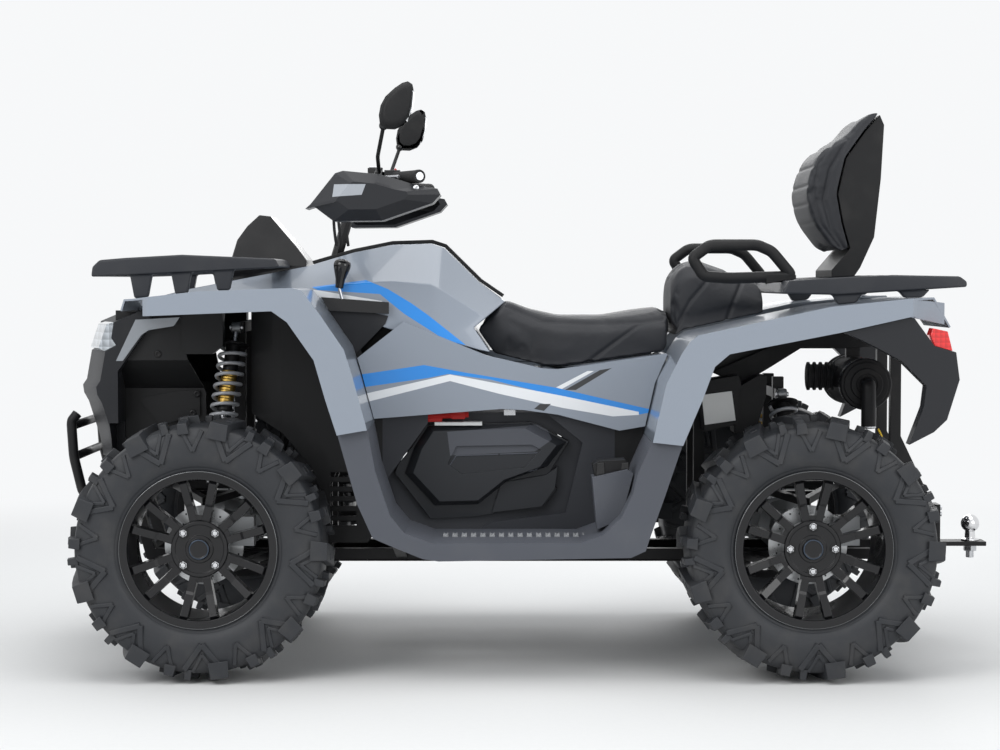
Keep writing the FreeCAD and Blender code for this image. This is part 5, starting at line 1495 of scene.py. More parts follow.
@dataclass
class Suspension:
    """Springs, dampers, shafts, arms and knuckles."""

    struts: Tuple[Strut, ...] = (
        Strut((-0.770, -0.196, 0.856), (-0.818, -0.292, 0.468), 11),
        Strut((0.640, -0.196, 0.684), (0.650, -0.288, 0.468), 7),
    )
    coil_radius: float = 0.03333
    coil_points: int = 14
    wire_radius: float = 0.0049
    wire_rest: float = 0.0053
    perch_low: float = 0.13
    perch_high: float = 0.88
    perch_radius: float = 0.040
    rod_radius: float = 0.008
    body_radius: float = 0.0195
    thread_radius: float = 0.0200
    threads: int = 12
    eye_radius: float = 0.0144
    eye_width: float = 0.024
    shaft_inner: float = -0.0823
    shaft_length: float = 0.2942
    boot_radius: float = 0.0320
    neck_radius: float = 0.0130
    boot_ribs: int = 5
    rib_step: float = 0.0075

    def build(self) -> List[Object]:
        """Makes and rounds the parts.

        Returns:
            The pieces.
        """
        made = [self.springs(), self.dampers(), self.shafts()]
        for finish, width, segments, nodes in (
            (Finish.FRAME, 0.006, 3, ("front_arms", "rear_arms")),
            (Finish.CAST, 0.0025, 2,
             ("knuckle_left", "knuckle_right", "rear_knuckles", "drive_units")),
            (Finish.STEEL, 0.0012, 2, ("tie_rod_left", "tie_rod_right")),
        ):
            made += [softened(node, finish, width, segments) for node in nodes]
        return made

    def springs(self) -> Object:
        """Round wire wound between the perches.

        Returns:
            The piece.
        """
        piece = Piece("springs_wound")
        for strut in self.struts:
            top, bottom = Vector(strut.top), Vector(strut.bottom)
            length = (top - bottom).length
            way = (top - bottom) / length
            side = way.cross(Vector((0, 1, 0))).normalized()
            other = way.cross(side).normalized()
            start = bottom + way * (length * self.perch_low + self.wire_rest)
            climb = length * (self.perch_high - self.perch_low) - 2 * self.wire_rest
            steps = strut.turns * self.coil_points
            path = []
            for i in range(steps + 1):
                first, second = polar(self.coil_radius, math.tau * i / self.coil_points)
                path.append(start + way * (climb * i / steps) + side * first + other * second)
            piece.add(pipe(path, self.wire_radius, sides=2), Finish.SPRING, BOTH)
        return piece.instead_of("springs")

    def dampers(self) -> Object:
        """Damper bodies with gold adjusters, bright rods, perches and eyes.

        Returns:
            The piece.
        """
        piece = Piece("dampers_turned")
        for strut in self.struts:
            top, bottom = Vector(strut.top), Vector(strut.bottom)
            length = (top - bottom).length
            places = paired(facing(bottom, top))
            piece.add(drum((0, 0, 0), (0, 0, length), self.rod_radius), Finish.STEEL, places)
            low, high = length * self.perch_low, length * self.perch_high
            body = [
                (0.0, length * 0.45), (0.017, length * 0.45), (self.body_radius, length * 0.46),
                (self.body_radius, high), (0.0, high),
            ]
            piece.add(turned(body, 40), Finish.FRAME, places)
            root, crest = self.thread_radius, self.thread_radius + 0.0012
            gold = [(0.0, length * 0.50), (root, length * 0.50)]
            for i in range(self.threads):
                height = length * (0.505 + 0.018 * i)
                gold += [(crest, height), (root, height + length * 0.009)]
            piece.add(turned(gold + [(0.0, length * 0.722)], 40), Finish.GOLD, places)
            perch = [
                (0.0, 0.008), (0.030, 0.008), (self.perch_radius, 0.005),
                (self.perch_radius, 0.001), (0.037, 0.0), (0.0, 0.0),
            ]
            for base, way in ((low, -1.0), (high, 1.0)):
                piece.add(turned(raised(perch, base, way), 48), Finish.FRAME, places)
            for point in (top, bottom):
                self.eye(piece, point)
        return piece.instead_of("dampers", bevel=0.0006, segments=1)

    def eye(self, piece: Piece, point: Vector) -> None:
        """Eye of a damper about a point, along the X axis, with its bolt.

        Args:
            piece: the dampers under construction.
            point: its centre.
        """
        reach = Vector((self.eye_width / 2, 0, 0))
        places = paired(facing(point - reach, point + reach))
        radius, width = self.eye_radius, self.eye_width
        ring = [
            (0.0, 0.0), (0.0125, 0.0), (radius, 0.0015), (radius, width - 0.0015),
            (0.0125, width), (0.0, width),
        ]
        piece.add(turned(ring, 32), Finish.CAST, places)
        bolt = drum((0, 0, -0.005), (0, 0, width + 0.005), 0.0062, segments=6)
        piece.add(bolt, Finish.STEEL, places, False)

    def shafts(self) -> Object:
        """Half shafts with ribbed boots.

        Returns:
            The piece.
        """
        piece = Piece("half_shafts_booted")
        length, boot, neck = self.shaft_length, self.boot_radius, self.neck_radius
        cover = [(0.0, 0.0), (boot - 0.001, 0.0), (boot, 0.003), (boot, 0.022)]
        for i in range(self.boot_ribs):
            radius = boot - (boot - neck) * (i + 0.6) / (self.boot_ribs + 1)
            rise = i * self.rib_step
            cover += [(radius - 0.0035, 0.025 + rise), (radius + 0.0010, 0.0285 + rise)]
        cover += [(neck + 0.0016, 0.064), (neck + 0.0016, 0.072), (0.0, 0.072)]
        band = [
            (boot + 0.0001, 0.006), (boot + 0.0003, 0.007), (boot + 0.0003, 0.011),
            (boot + 0.0001, 0.012),
        ]
        for x in (FRONT_AXLE_X, REAR_AXLE_X):
            inner = (x, self.shaft_inner, AXLE_HEIGHT)
            outer = (x, self.shaft_inner - length, AXLE_HEIGHT)
            places = paired(facing(inner, outer))
            bar = drum((0, 0, 0.02), (0, 0, length - 0.02), neck - 0.001)
            piece.add(bar, Finish.FRAME, places)
            for start, way in ((0.0, 1.0), (length, -1.0)):
                piece.add(turned(raised(cover, start, way), 40), Finish.BOOT, places)
                piece.add(turned(raised(band, start, way), 40, True), Finish.STEEL, places)
        return piece.instead_of("half_shafts")


# Handlebar


@dataclass
class Cockpit:
    """Handlebar with grips, switches, levers and cables; mirrors and hand guards."""

    bar_radius: float = 0.0108
    bar_middle: Tuple[Place, Place] = ((-0.482, 0.062, 1.2102), (-0.482, -0.062, 1.2102))
    bar_turn: Place = (-0.4345, -0.150, 1.236)
    grip_tip: Place = (-0.292, -0.408, 1.236)
    grip_radius: float = 0.0168
    grip_length: float = 0.124
    grip_ribs: int = 13
    rib_step: float = 0.0082
    switch_size: Place = (0.040, 0.033, 0.042)
    stem_radius: float = 0.0052
    stem: Tuple[Place, ...] = (
        (-0.395, -0.285, 1.246), (-0.395, -0.364, 1.287), (-0.377, -0.445, 1.352),
        (-0.372, -0.452, 1.366),
    )
    mirror_head: Outline = (
        (-0.3150, 1.4660), (-0.3040, 1.4590), (-0.3000, 1.4400), (-0.3030, 1.4050),
        (-0.3110, 1.3770), (-0.3260, 1.3580), (-0.3480, 1.3490), (-0.3720, 1.3500),
        (-0.3840, 1.3620), (-0.3865, 1.3830), (-0.3820, 1.4070), (-0.3700, 1.4290),
        (-0.3470, 1.4500), (-0.3290, 1.4620),
    )
    mirror_rings: Outline = (
        (-0.4765, 0.62), (-0.4715, 0.86), (-0.4640, 1.0), (-0.4480, 1.0), (-0.4390, 0.88),
        (-0.4335, 0.66),
    )
    mirror_glass: Outline = (
        (-0.3025, 1.4440), (-0.2995, 1.4400), (-0.3030, 1.4000), (-0.3170, 1.3680),
        (-0.3210, 1.3700),
    )
    reservoir: Place = (-0.4100, -0.2050, 1.2560)
    cable_radius: float = 0.0042

    def build(self) -> List[Object]:
        """Makes the parts.

        Returns:
            The pieces.
        """
        return [
            self.bar(), self.mirrors(), self.fittings(), self.guards(),
            softened("steering_column", Finish.FRAME, 0.0025),
        ]

    def bar(self) -> Object:
        """Bent bar, ribbed grips, switch boxes and levers.

        Returns:
            The piece.
        """
        piece = Piece("handlebar_detailed")
        turn, tip = Vector(self.bar_turn), Vector(self.grip_tip)
        line = [*self.bar_middle, turn, tip]
        piece.add(pipe(line, self.bar_radius, 0.03, 4), Finish.FRAME, BOTH)
        way = (tip - turn).normalized()
        places = paired(facing(tip - way * self.grip_length, tip + way * 0.010))
        radius = self.grip_radius
        low = radius - 0.0018
        grip = [(0.0, 0.0), (radius, 0.0), (radius, 0.006), (low, 0.008)]
        for i in range(self.grip_ribs):
            start = 0.010 + self.rib_step * i
            grip += [
                (radius - 0.0010, start), (radius - 0.0006, start + 0.002),
                (radius - 0.0006, start + 0.005), (low, start + 0.0066),
            ]
        grip += [(radius, 0.1190), (radius, 0.1310), (low, 0.1335), (0.0, 0.1335)]
        piece.add(turned(grip, 28), Finish.GRIP, places)
        piece.add(drum((0, 0, 0.1300), (0, 0, 0.1340), 0.0105), Finish.STEEL, places)
        box = tip - way * (self.grip_length + 0.020)
        piece.add(block(self.switch_size, box), Finish.GLOSS, BOTH)
        button = (box + Vector((0.008, 0, 0.018)), box + Vector((0.012, 0, 0.0215)))
        piece.add(drum(*button, 0.007), Finish.RED, BOTH)
        root = box - Vector((0.017, 0, 0))
        reach = tip + Vector((-0.050, 0.024, 0))
        lever = [
            root, root + Vector((-0.030, -0.017, 0)),
            root.lerp(reach, 0.55) + Vector((-0.016, 0, 0)), reach,
        ]
        piece.add(pipe(lever, 0.0052), Finish.STEEL, BOTH)
        return piece.instead_of("handlebar", bevel=0.0015)

    def mirrors(self) -> Object:
        """Rounded heads with their glass on the rider's side, on bent stems with ball joints.

        Returns:
            The piece.
        """
        piece = Piece("mirrors_detailed")
        outline = self.mirror_head
        x0 = sum(x for x, _ in outline) / len(outline)
        z0 = sum(z for _, z in outline) / len(outline)
        head = lofted([
            [(x0 + (x - x0) * share, y, z0 + (z - z0) * share) for x, z in outline]
            for y, share in self.mirror_rings
        ])
        piece.add(head, Finish.PLASTIC, BOTH)
        piece.add(plate(self.mirror_glass, -0.4670, -0.4450), Finish.MIRROR, BOTH)
        piece.add(pipe(self.stem, self.stem_radius, 0.02), Finish.PLASTIC, BOTH)
        socket = [
            (0.0, 0.0), (0.013, 0.0), (0.013, 0.010), (0.009, 0.014), (0.009, 0.022), (0.0, 0.022)
        ]
        foot = Matrix.Translation(Vector(self.stem[0]) - UP * 0.004)
        piece.add(turned(socket, 24), Finish.GLOSS, paired(foot))
        piece.add(ball((-0.3755, -0.449, 1.3585), 0.0115), Finish.GLOSS, BOTH)
        return piece.instead_of("mirrors", bevel=0.0012)

    def fittings(self) -> Object:
        """Brake fluid reservoirs, cables and guard bolts, which turn with the bar.

        Returns:
            The piece.
        """
        piece = Piece("bar_fittings")
        centre = Vector(self.reservoir)
        piece.add(block((0.036, 0.048, 0.020), centre), Finish.GLOSS, BOTH)
        piece.add(block((0.030, 0.042, 0.003), centre + UP * 0.0115), Finish.STEEL, BOTH)
        for side, shift in ((-1, 0.0), (1, 0.012), (-1, -0.014)):
            cable = [
                (-0.440, 0.190 * side, 1.232), (-0.505, 0.120 * side, 1.215),
                (-0.520 + shift, 0.060 * side, 1.150), (-0.508 + shift, 0.040 * side, 1.070),
            ]
            piece.add(pipe(cable, self.cable_radius, sides=2), Finish.BOOT)
        bolt = [(0.0, 0.0), (0.0078, 0.0), (0.0078, 0.0028), (0.0045, 0.0046), (0.0, 0.0046)]
        places = paired(facing((-0.2969, -0.4215, 1.2065), (-0.2969, -0.4300, 1.2065)))
        piece.add(turned(bolt, 24), Finish.STEEL, places)
        return piece.done("steering", 0.0012)

    def guards(self) -> Object:
        """Hand guards with rounded edges.

        Returns:
            The piece.
        """
        shape = merged_copy("hand_guards")
        guards = linked("hand_guards_detailed", shape, [Finish.GUARD.material()])
        add_bevel(guards, 0.005, 3, PIECE_EDGE_DEG)
        return stand_for(guards, "hand_guards")


# Tail and nose tubes


@dataclass
class TailAndNose:
    """Silencer, tow hitch, bumper, grab handles and the tie on the tail strut."""

    drum_centre: Place = (0.836, -0.330, 0.7157)
    drum_radius: float = 0.0657
    outlet_radius: float = 0.0186
    duct_start: Point = (0.7862, -0.165)
    duct_length: float = 0.080
    ball_centre: Place = (1.1703, 0.0, 0.3276)
    ball_radius: float = 0.0248
    tongue_top: float = 0.2826
    tongue_reach: Point = (1.0800, 1.2080)
    tongue_width: float = 0.063
    bumper_half: float = 0.215
    bumper_radius: float = 0.0130
    bumper_foot: float = -0.105
    handle_y: float = -0.318
    handle_radius: float = 0.0144

    def build(self) -> List[Object]:
        """Makes the parts."""
        return [self.silencer(), self.hitch(), self.bumper(), self.handles(), self.tie()]

    def silencer(self) -> Object:
        """Drum with stepped cap, outlet turned down, bright mouth, hanger, bands and duct.

        Returns:
            The piece.
        """
        piece = Piece("silencer_detailed")
        x, y, z = self.drum_centre
        place = facing((x, 0.0, z), (x, y - 0.014, z))
        radius = self.drum_radius
        body = [
            (0.0, 0.0), (radius - 0.004, 0.0), (radius, 0.004), (radius, 0.020),
            (radius - 0.0015, 0.022), (radius - 0.0015, 0.300), (radius, 0.302), (radius, 0.326),
            (radius - 0.003, 0.3295), (0.0560, 0.3300), (0.0560, 0.3350), (0.0540, 0.3365),
            (0.0405, 0.3370), (0.0405, 0.3425), (0.0390, 0.3438), (0.0270, 0.3438),
            (0.0255, 0.3425), (0.0, 0.3425),
        ]
        piece.add(turned(body), Finish.SILENCER, (place,))
        bend = y - 0.0375
        outlet = [(x, y - 0.006, z), (x, y - 0.036, z), (x, bend, z - 0.030), (x, bend, z - 0.106)]
        piece.add(pipe(outlet, self.outlet_radius, 0.016, 4), Finish.SILENCER)
        mouth = [
            (0.0150, 0.0), (self.outlet_radius, 0.0), (self.outlet_radius + 0.0002, 0.004),
            (0.0150, 0.006),
        ]
        down = facing((x, bend, z - 0.1035), (x, bend, z - 0.110))
        piece.add(turned(mouth, 32, True), Finish.STEEL, (down,))
        self.duct(piece, z + 0.014)
        piece.add(block((0.036, 0.018, 0.150), (x, -0.105, 0.7890)), Finish.FRAME)
        band = [
            (radius + 0.0002, 0.0), (radius + 0.0003, 0.002), (radius + 0.0003, 0.012),
            (radius + 0.0002, 0.014),
        ]
        for height in (0.30, 0.06):
            piece.add(turned(raised(band, height), closed=True), Finish.STEEL, (place,))
        return piece.instead_of("silencer", bevel=0.0008)

    def duct(self, piece: Piece, height: float) -> None:
        """Corrugated duct in front of the drum, at a height.

        Args:
            piece: the silencer under construction.
            height: height of the duct's axis.
        """
        profile = [(0.0, 0.0)]
        for i in range(5):
            base = 0.0160 * i
            profile += [
                (0.0310, base), (0.0310, base + 0.006), (0.0368, base + 0.008),
                (0.0368, base + 0.0135),
            ]
        profile += [(0.0310, 0.0795), (0.0, 0.0795)]
        x, y = self.duct_start
        along = facing((x, y, height), (x - self.duct_length, y, height))
        piece.add(turned(profile, 40), Finish.BOOT, (along,))

    def hitch(self) -> Object:
        """Dark drop bracket, chrome ball on its neck and flange, nut and bolt end below.

        Returns:
            The piece.
        """
        piece = Piece("tow_hitch_detailed")
        low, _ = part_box("tow_hitch")
        x, y, z = self.ball_centre
        top = self.tongue_top
        neck = [
            (0.0, top - 0.001), (0.0235, top - 0.001), (0.0235, top + 0.004),
            (0.0140, top + 0.007), (0.0132, z - 0.021), (0.0140, z - 0.0190),
        ]
        for i in range(1, 12):
            out, up = polar(self.ball_radius, math.radians(-50.0 + 128.0 * i / 11))
            neck.append((out, z + up))
        neck.append((0.0, z + 0.0245))
        piece.add(turned(neck, 48), Finish.CHROME, (Matrix.Translation((x, y, 0.0)),))
        near, far = self.tongue_reach
        bar = [(low[0], 0.3448), (1.0730, 0.3448), (1.0730, 0.3811), (low[0], 0.3811)]
        piece.add(plate(bar, -0.0250, 0.0250), Finish.FRAME)
        drop = [(1.0730, top - 0.012), (1.0850, top - 0.012), (1.0850, 0.3811), (1.0730, 0.3811)]
        half = self.tongue_width / 2
        piece.add(plate(drop, -half, half), Finish.FRAME)
        size = (far - near, self.tongue_width, 0.0115)
        piece.add(block(size, ((far + near) / 2, 0.0, top - 0.0065)), Finish.FRAME)
        bolt_end = max(low[2], top - 0.046)
        nut = drum((x, y, top - 0.012), (x, y, top - 0.028), 0.0185, segments=6)
        piece.add(nut, Finish.STEEL, smooth=False)
        bolt = drum((x, y, top - 0.028), (x, y, bolt_end), 0.0105, segments=24)
        piece.add(bolt, Finish.STEEL)
        for height in (0.3545, 0.3715):
            for side in (-0.018, 0.018):
                head = drum((1.0850, side, height), (1.0910, side, height), 0.0065, segments=6)
                piece.add(head, Finish.STEEL, smooth=False)
        return piece.instead_of("tow_hitch", bevel=0.0012)

    def bumper(self) -> Object:
        """Tube hoop with cross tubes.

        Returns:
            The piece.
        """
        piece = Piece("bumper_tubes")
        half = self.bumper_half
        sides = shared((
            (-0.150, 0.125), (-0.205, 0.125), (-0.232, 0.160), (-0.247, 0.30), (-0.251, 0.440),
            (-0.2405, 0.470),
        ))
        _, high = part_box("bumper")
        foot_y, foot_z = self.bumper_foot, sides[0][1]
        foot = [(high[0], foot_y, foot_z), (high[0] - 0.040, foot_y, foot_z)]
        line = foot + [(x, -half, z) for x, z in sides[1:]]
        piece.add(pipe(line, self.bumper_radius, 0.030, 4), Finish.FRAME, BOTH)
        for x, z in shared(((-0.247, 0.30), (-0.251, 0.420))):
            piece.add(drum((x, -half, z), (x, half, z), 0.0111, segments=24), Finish.FRAME)
        return piece.instead_of("bumper")

    def handles(self) -> Object:
        """Loops of round tube with a foot on the rear rack's front bar.

        Returns:
            The piece.
        """
        piece = Piece("grab_handles_tubes")
        loop = shared((
            (0.880, 0.998), (0.835, 1.005), (0.815, 1.075), (0.845, 1.125), (0.925, 1.125),
            (0.950, 1.100), (0.985, 1.005),
        ))
        points = [Vector((x, self.handle_y, z)) for x, z in loop]
        start = (points[0] + points[-1]) / 2
        line = [start, *points, start]
        piece.add(pipe(line, self.handle_radius, 0.032, 4), Finish.PLASTIC, BOTH)
        foot = shared((
            (0.940, 0.975), (0.968, 0.9895), (0.990, 0.9930), (0.990, 1.010), (0.940, 1.010)
        ))
        piece.add(plate(foot, -0.3320, -0.3040), Finish.PLASTIC, BOTH)
        return piece.instead_of("grab_handles", bevel=0.002)

    def tie(self) -> Object:
        """Yellow tie round the tail strut on the left.

        Returns:
            The piece.
        """
        piece = Piece("tail_tie")
        line = [(0.9000, -0.1285, 0.590), (0.9200, -0.1285, 0.560), (0.9240, -0.1285, 0.500)]
        piece.add(pipe(line, 0.0028, sides=2), Finish.YELLOW)
        return piece.done("chassis")


# Bodywork


@dataclass
class Bodywork:
    """Painted and moulded panels, racks and frame, with their edges rounded."""

    shell_edge: float = 0.0035
    cover_edge: float = 0.0015
    rack_edge: float = 0.005
    frame_edge: float = 0.0085
    tube_edge: float = 0.006

    def build(self) -> List[Object]:
        """Rounds every panel; those with holes keep all their faces.

        Returns:
            The pieces.
        """
        made = []
        for node, finish in (
            ("front_fenders", Finish.BODY), ("rear_fenders", Finish.BODY),
            ("fascia", Finish.FASCIA), ("footwells", Finish.FOOTWELL),
            ("tank_cover", Finish.TANK), ("side_panels", Finish.FLANK),
        ):
            made.append(softened(node, finish, self.shell_edge, 3, dissolve=True))
        for node, finish in (
            ("rear_flares", Finish.FLARE), ("dash_cover", Finish.GLOSS),
            ("belt_cover", Finish.BELT), ("backrest_shell", Finish.PLASTIC),
            ("spine_trim", Finish.PLASTIC), ("electrics_box", Finish.PLASTIC),
            ("engine", Finish.ENGINE), ("skid_plate", Finish.PLASTIC),
            ("headlights", Finish.HEADLAMP), ("tail_lights", Finish.TAILLAMP),
        ):
            made.append(softened(node, finish, self.cover_edge, dissolve=True))
        for node, finish, edge in (
            ("front_rack", Finish.RACK, self.rack_edge),
            ("rear_rack", Finish.RACK, self.rack_edge),
            ("inner_panels", Finish.INNER, self.cover_edge),
            ("frame", Finish.FRAME, self.frame_edge),
            ("cross_tubes", Finish.FRAME, self.tube_edge),
        ):
            made.append(softened(node, finish, edge, 3))
        return made


@dataclass
class Trim:
    """Small pieces on the panels: trims, screws, plates, clips, pegs, hoses and the gear lever."""

    lamp_trim: Outline = (
        (-1.0125, 0.8788), (-0.9001, 0.8850), (-0.9155, 0.8622), (-0.9791, 0.8520),
        (-0.9974, 0.8398), (-1.0450, 0.7738), (-1.0627, 0.7738),
    )
    screws: Tuple[Place, ...] = (
        (-0.9591, -0.285, 0.7909), (-0.872, -0.200, 0.6847), (-0.8826, -0.200, 0.6355)
    )
    hose_radius: float = 0.0080
    hose: Tuple[Place, ...] = (
        (-0.326, -0.1920, 0.572), (-0.330, -0.2240, 0.582), (-0.312, -0.2340, 0.612),
        (-0.286, -0.2340, 0.628), (-0.170, -0.2300, 0.634),
    )
    recess: Outline = (
        (-0.2019, 0.5276), (0.0239, 0.5353), (0.0316, 0.5173), (0.0033, 0.4917),
        (-0.1942, 0.4506), (-0.2249, 0.4917),
    )
    bead_radius: float = 0.0019
    bead_y: float = -0.2362
    pegs: int = 16
    peg_start: float = -0.232
    peg_step: float = 0.0232
    lid: Outline = (
        (0.6475, 0.2500), (0.6430, 0.3010), (0.6545, 0.3155), (0.6975, 0.3195), (0.7038, 0.2835)
    )
    lever_gate: Outline = ((0.198, 0.872), (0.184, 0.925), (0.300, 0.905), (0.300, 0.860))
    lever_line: Outline = ((0.222, 0.90), (0.215, 0.960), (0.222, 1.072))
    lever_y: float = -0.2640
    lever_knob: Outline = (
        (0.0, 0.0), (0.0100, 0.0), (0.0108, 0.006), (0.0125, 0.022), (0.0180, 0.040),
        (0.0215, 0.052), (0.0222, 0.060), (0.0205, 0.067), (0.0160, 0.0715), (0.0085, 0.0738),
        (0.0, 0.0744),
    )
    gate_panel: Outline = (
        (-0.5300, 0.9180), (-0.3746, 0.8872), (-0.3823, 0.8668), (-0.4664, 0.7801),
        (-0.4894, 0.7954), (-0.5225, 0.8643),
    )
    axle_panel: Outline = (
        (0.4638, 0.7391), (0.6672, 0.8278), (0.9019, 0.8538), (0.9140, 0.8095), (0.8133, 0.8010),
        (0.6933, 0.8010), (0.6150, 0.7520), (0.5368, 0.7052),
    )
    blank_plate: Outline = (
        (0.4287, 0.6843), (0.5056, 0.6945), (0.5159, 0.6189), (0.4364, 0.6074)
    )

    def build(self) -> List[Object]:
        """Makes them.

        Returns:
            The pieces.
        """
        return [
            self.nose(), self.belt_fittings(), self.footwells(), self.plate_on_box(),
            self.gear_lever(), self.panels(), self.tail_corners(),
        ]

    def nose(self) -> Object:
        """Silver trim beside the lamp, and the screws of the wheel arch.

        Returns:
            The piece.
        """
        piece = Piece("nose_trim")
        piece.add(plate(self.lamp_trim, -0.2840, -0.3075), Finish.SILVER, BOTH)
        head = [
            (0.0, 0.0), (0.0092, 0.0), (0.0092, 0.0020), (0.0070, 0.0032), (0.0040, 0.0032),
            (0.0032, 0.0018), (0.0, 0.0018),
        ]
        for x, y, z in self.screws:
            places = paired(facing((x, y, z), (x, y - 0.01, z)))
            piece.add(turned(head, 24), Finish.FRAME, places)
        return piece.done("chassis", 0.0012)

    def belt_fittings(self) -> Object:
        """Red parts, pale strip and clip over the belt cover, and the bead of its recess, left.

        Returns:
            The piece.
        """
        piece = Piece("belt_fittings")
        piece.add(pipe(self.hose, self.hose_radius, 0.016), Finish.RED)
        for size, centre, finish in (
            ((0.060, 0.046, 0.020), (-0.268, -0.2150, 0.6250), Finish.RED),
            ((0.034, 0.046, 0.018), (-0.196, -0.2150, 0.6310), Finish.RED),
            ((0.122, 0.050, 0.0085), (-0.196, -0.2170, 0.6100), Finish.PALE),
            ((0.030, 0.018, 0.014), (-0.064, -0.2010, 0.6370), Finish.STEEL),
        ):
            piece.add(block(size, centre), finish)
        first, second = self.recess[:2]
        start = ((first[0] + second[0]) / 2, (first[1] + second[1]) / 2)
        end = (start[0] - 0.0045, start[1] - 0.0004)
        line = [start, *self.recess[1:], first, end]
        bead = [(x, self.bead_y, z) for x, z in line]
        piece.add(pipe(bead, self.bead_radius, 0.006, 2), Finish.FOOTWELL)
        return piece.done("chassis", 0.0015)

    def footwells(self) -> Object:
        """Row of serrated pegs on each footwell, the locker's lid and its latch's two clips.

        Returns:
            The piece.
        """
        piece = Piece("footwell_pegs")
        for i in range(self.pegs):
            x = self.peg_start + self.peg_step * i
            tooth = [
                (x, 0.3385), (x + 0.015, 0.3385), (x + 0.013, 0.3475), (x + 0.0075, 0.3440),
                (x + 0.002, 0.3475),
            ]
            piece.add(plate(tooth, -0.3900, -0.4320), Finish.PEG, BOTH)
        piece.add(plate(shared(self.lid), -0.3900, -0.4682), Finish.LATCH, BOTH)
        for x in (0.1480, 0.2080):
            clip = [(x, 0.4960), (x + 0.022, 0.4975), (x + 0.020, 0.5290), (x + 0.003, 0.5280)]
            piece.add(plate(clip, -0.4650, -0.4715), Finish.GLOSS, BOTH)
        return piece.done("chassis", 0.001)

    def plate_on_box(self) -> Object:
        """Blank pale plate on the electrics box.

        Returns:
            The piece.
        """
        piece = Piece("electrics_plate")
        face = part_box("electrics_box")[0][1]
        piece.add(plate(self.blank_plate, face + 0.002, face - 0.0012), Finish.PALE)
        return piece.done("chassis", 0.0004, 1)

    def gear_lever(self) -> Object:
        """Gate plate, bright rod and pear-shaped knob.

        Returns:
            The piece.
        """
        piece = Piece("gear_lever_detailed")
        piece.add(plate(shared(self.lever_gate), -0.2682, -0.2560), Finish.GLOSS)
        foot, neck, top = (Vector((x, self.lever_y, z)) for x, z in shared(self.lever_line))
        piece.add(drum(foot, neck, 0.0042, segments=20), Finish.STEEL)
        piece.add(turned(self.lever_knob, 36), Finish.GLOSS, (facing(neck, top),))
        return piece.instead_of("gear_lever", bevel=0.0006)

    def panels(self) -> Object:
        """Dark panel between tank and front fender, and the dark sheet over the rear axle.

        Returns:
            The piece.
        """
        piece = Piece("dark_panels")
        piece.add(plate(self.gate_panel, -0.2470, -0.2540), Finish.FASCIA, BOTH)
        piece.add(plate(self.axle_panel, -0.1500, -0.1530), Finish.PLASTIC, BOTH)
        return piece.done("chassis", 0.0010)

    def tail_corners(self) -> Object:
        """Painted corner of each rear fender, from its side face round to the tail.

        Returns:
            The piece.
        """
        piece = Piece("tail_corners")
        corner = lofted([
            [(x, y, low), (x, y + 0.004, low), (x, y + 0.004, high), (x, y, high)]
            for x, y, low, high in (
                (0.9030, -0.5900, 0.8880, 0.9330), (0.9990, -0.4985, 0.8700, 0.9230)
            )
        ])
        piece.add(corner, Finish.BODY, BOTH)
        return piece.done("chassis", 0.0012)


# Seats


CLOTH_SETTINGS = {
    "quality": 4,
    "mass": 0.3,
    "tension_stiffness": 12.0,
    "compression_stiffness": 12.0,
    "shear_stiffness": 6.0,
    "bending_stiffness": 0.5,
    "use_pressure": True,
}


class Rest(Enum):
    """Side on which a cushion rests, as the way it faces."""

    UNDER = (0.0, 0.0, -1.0)
    BEHIND = (1.0, 0.0, 0.0)


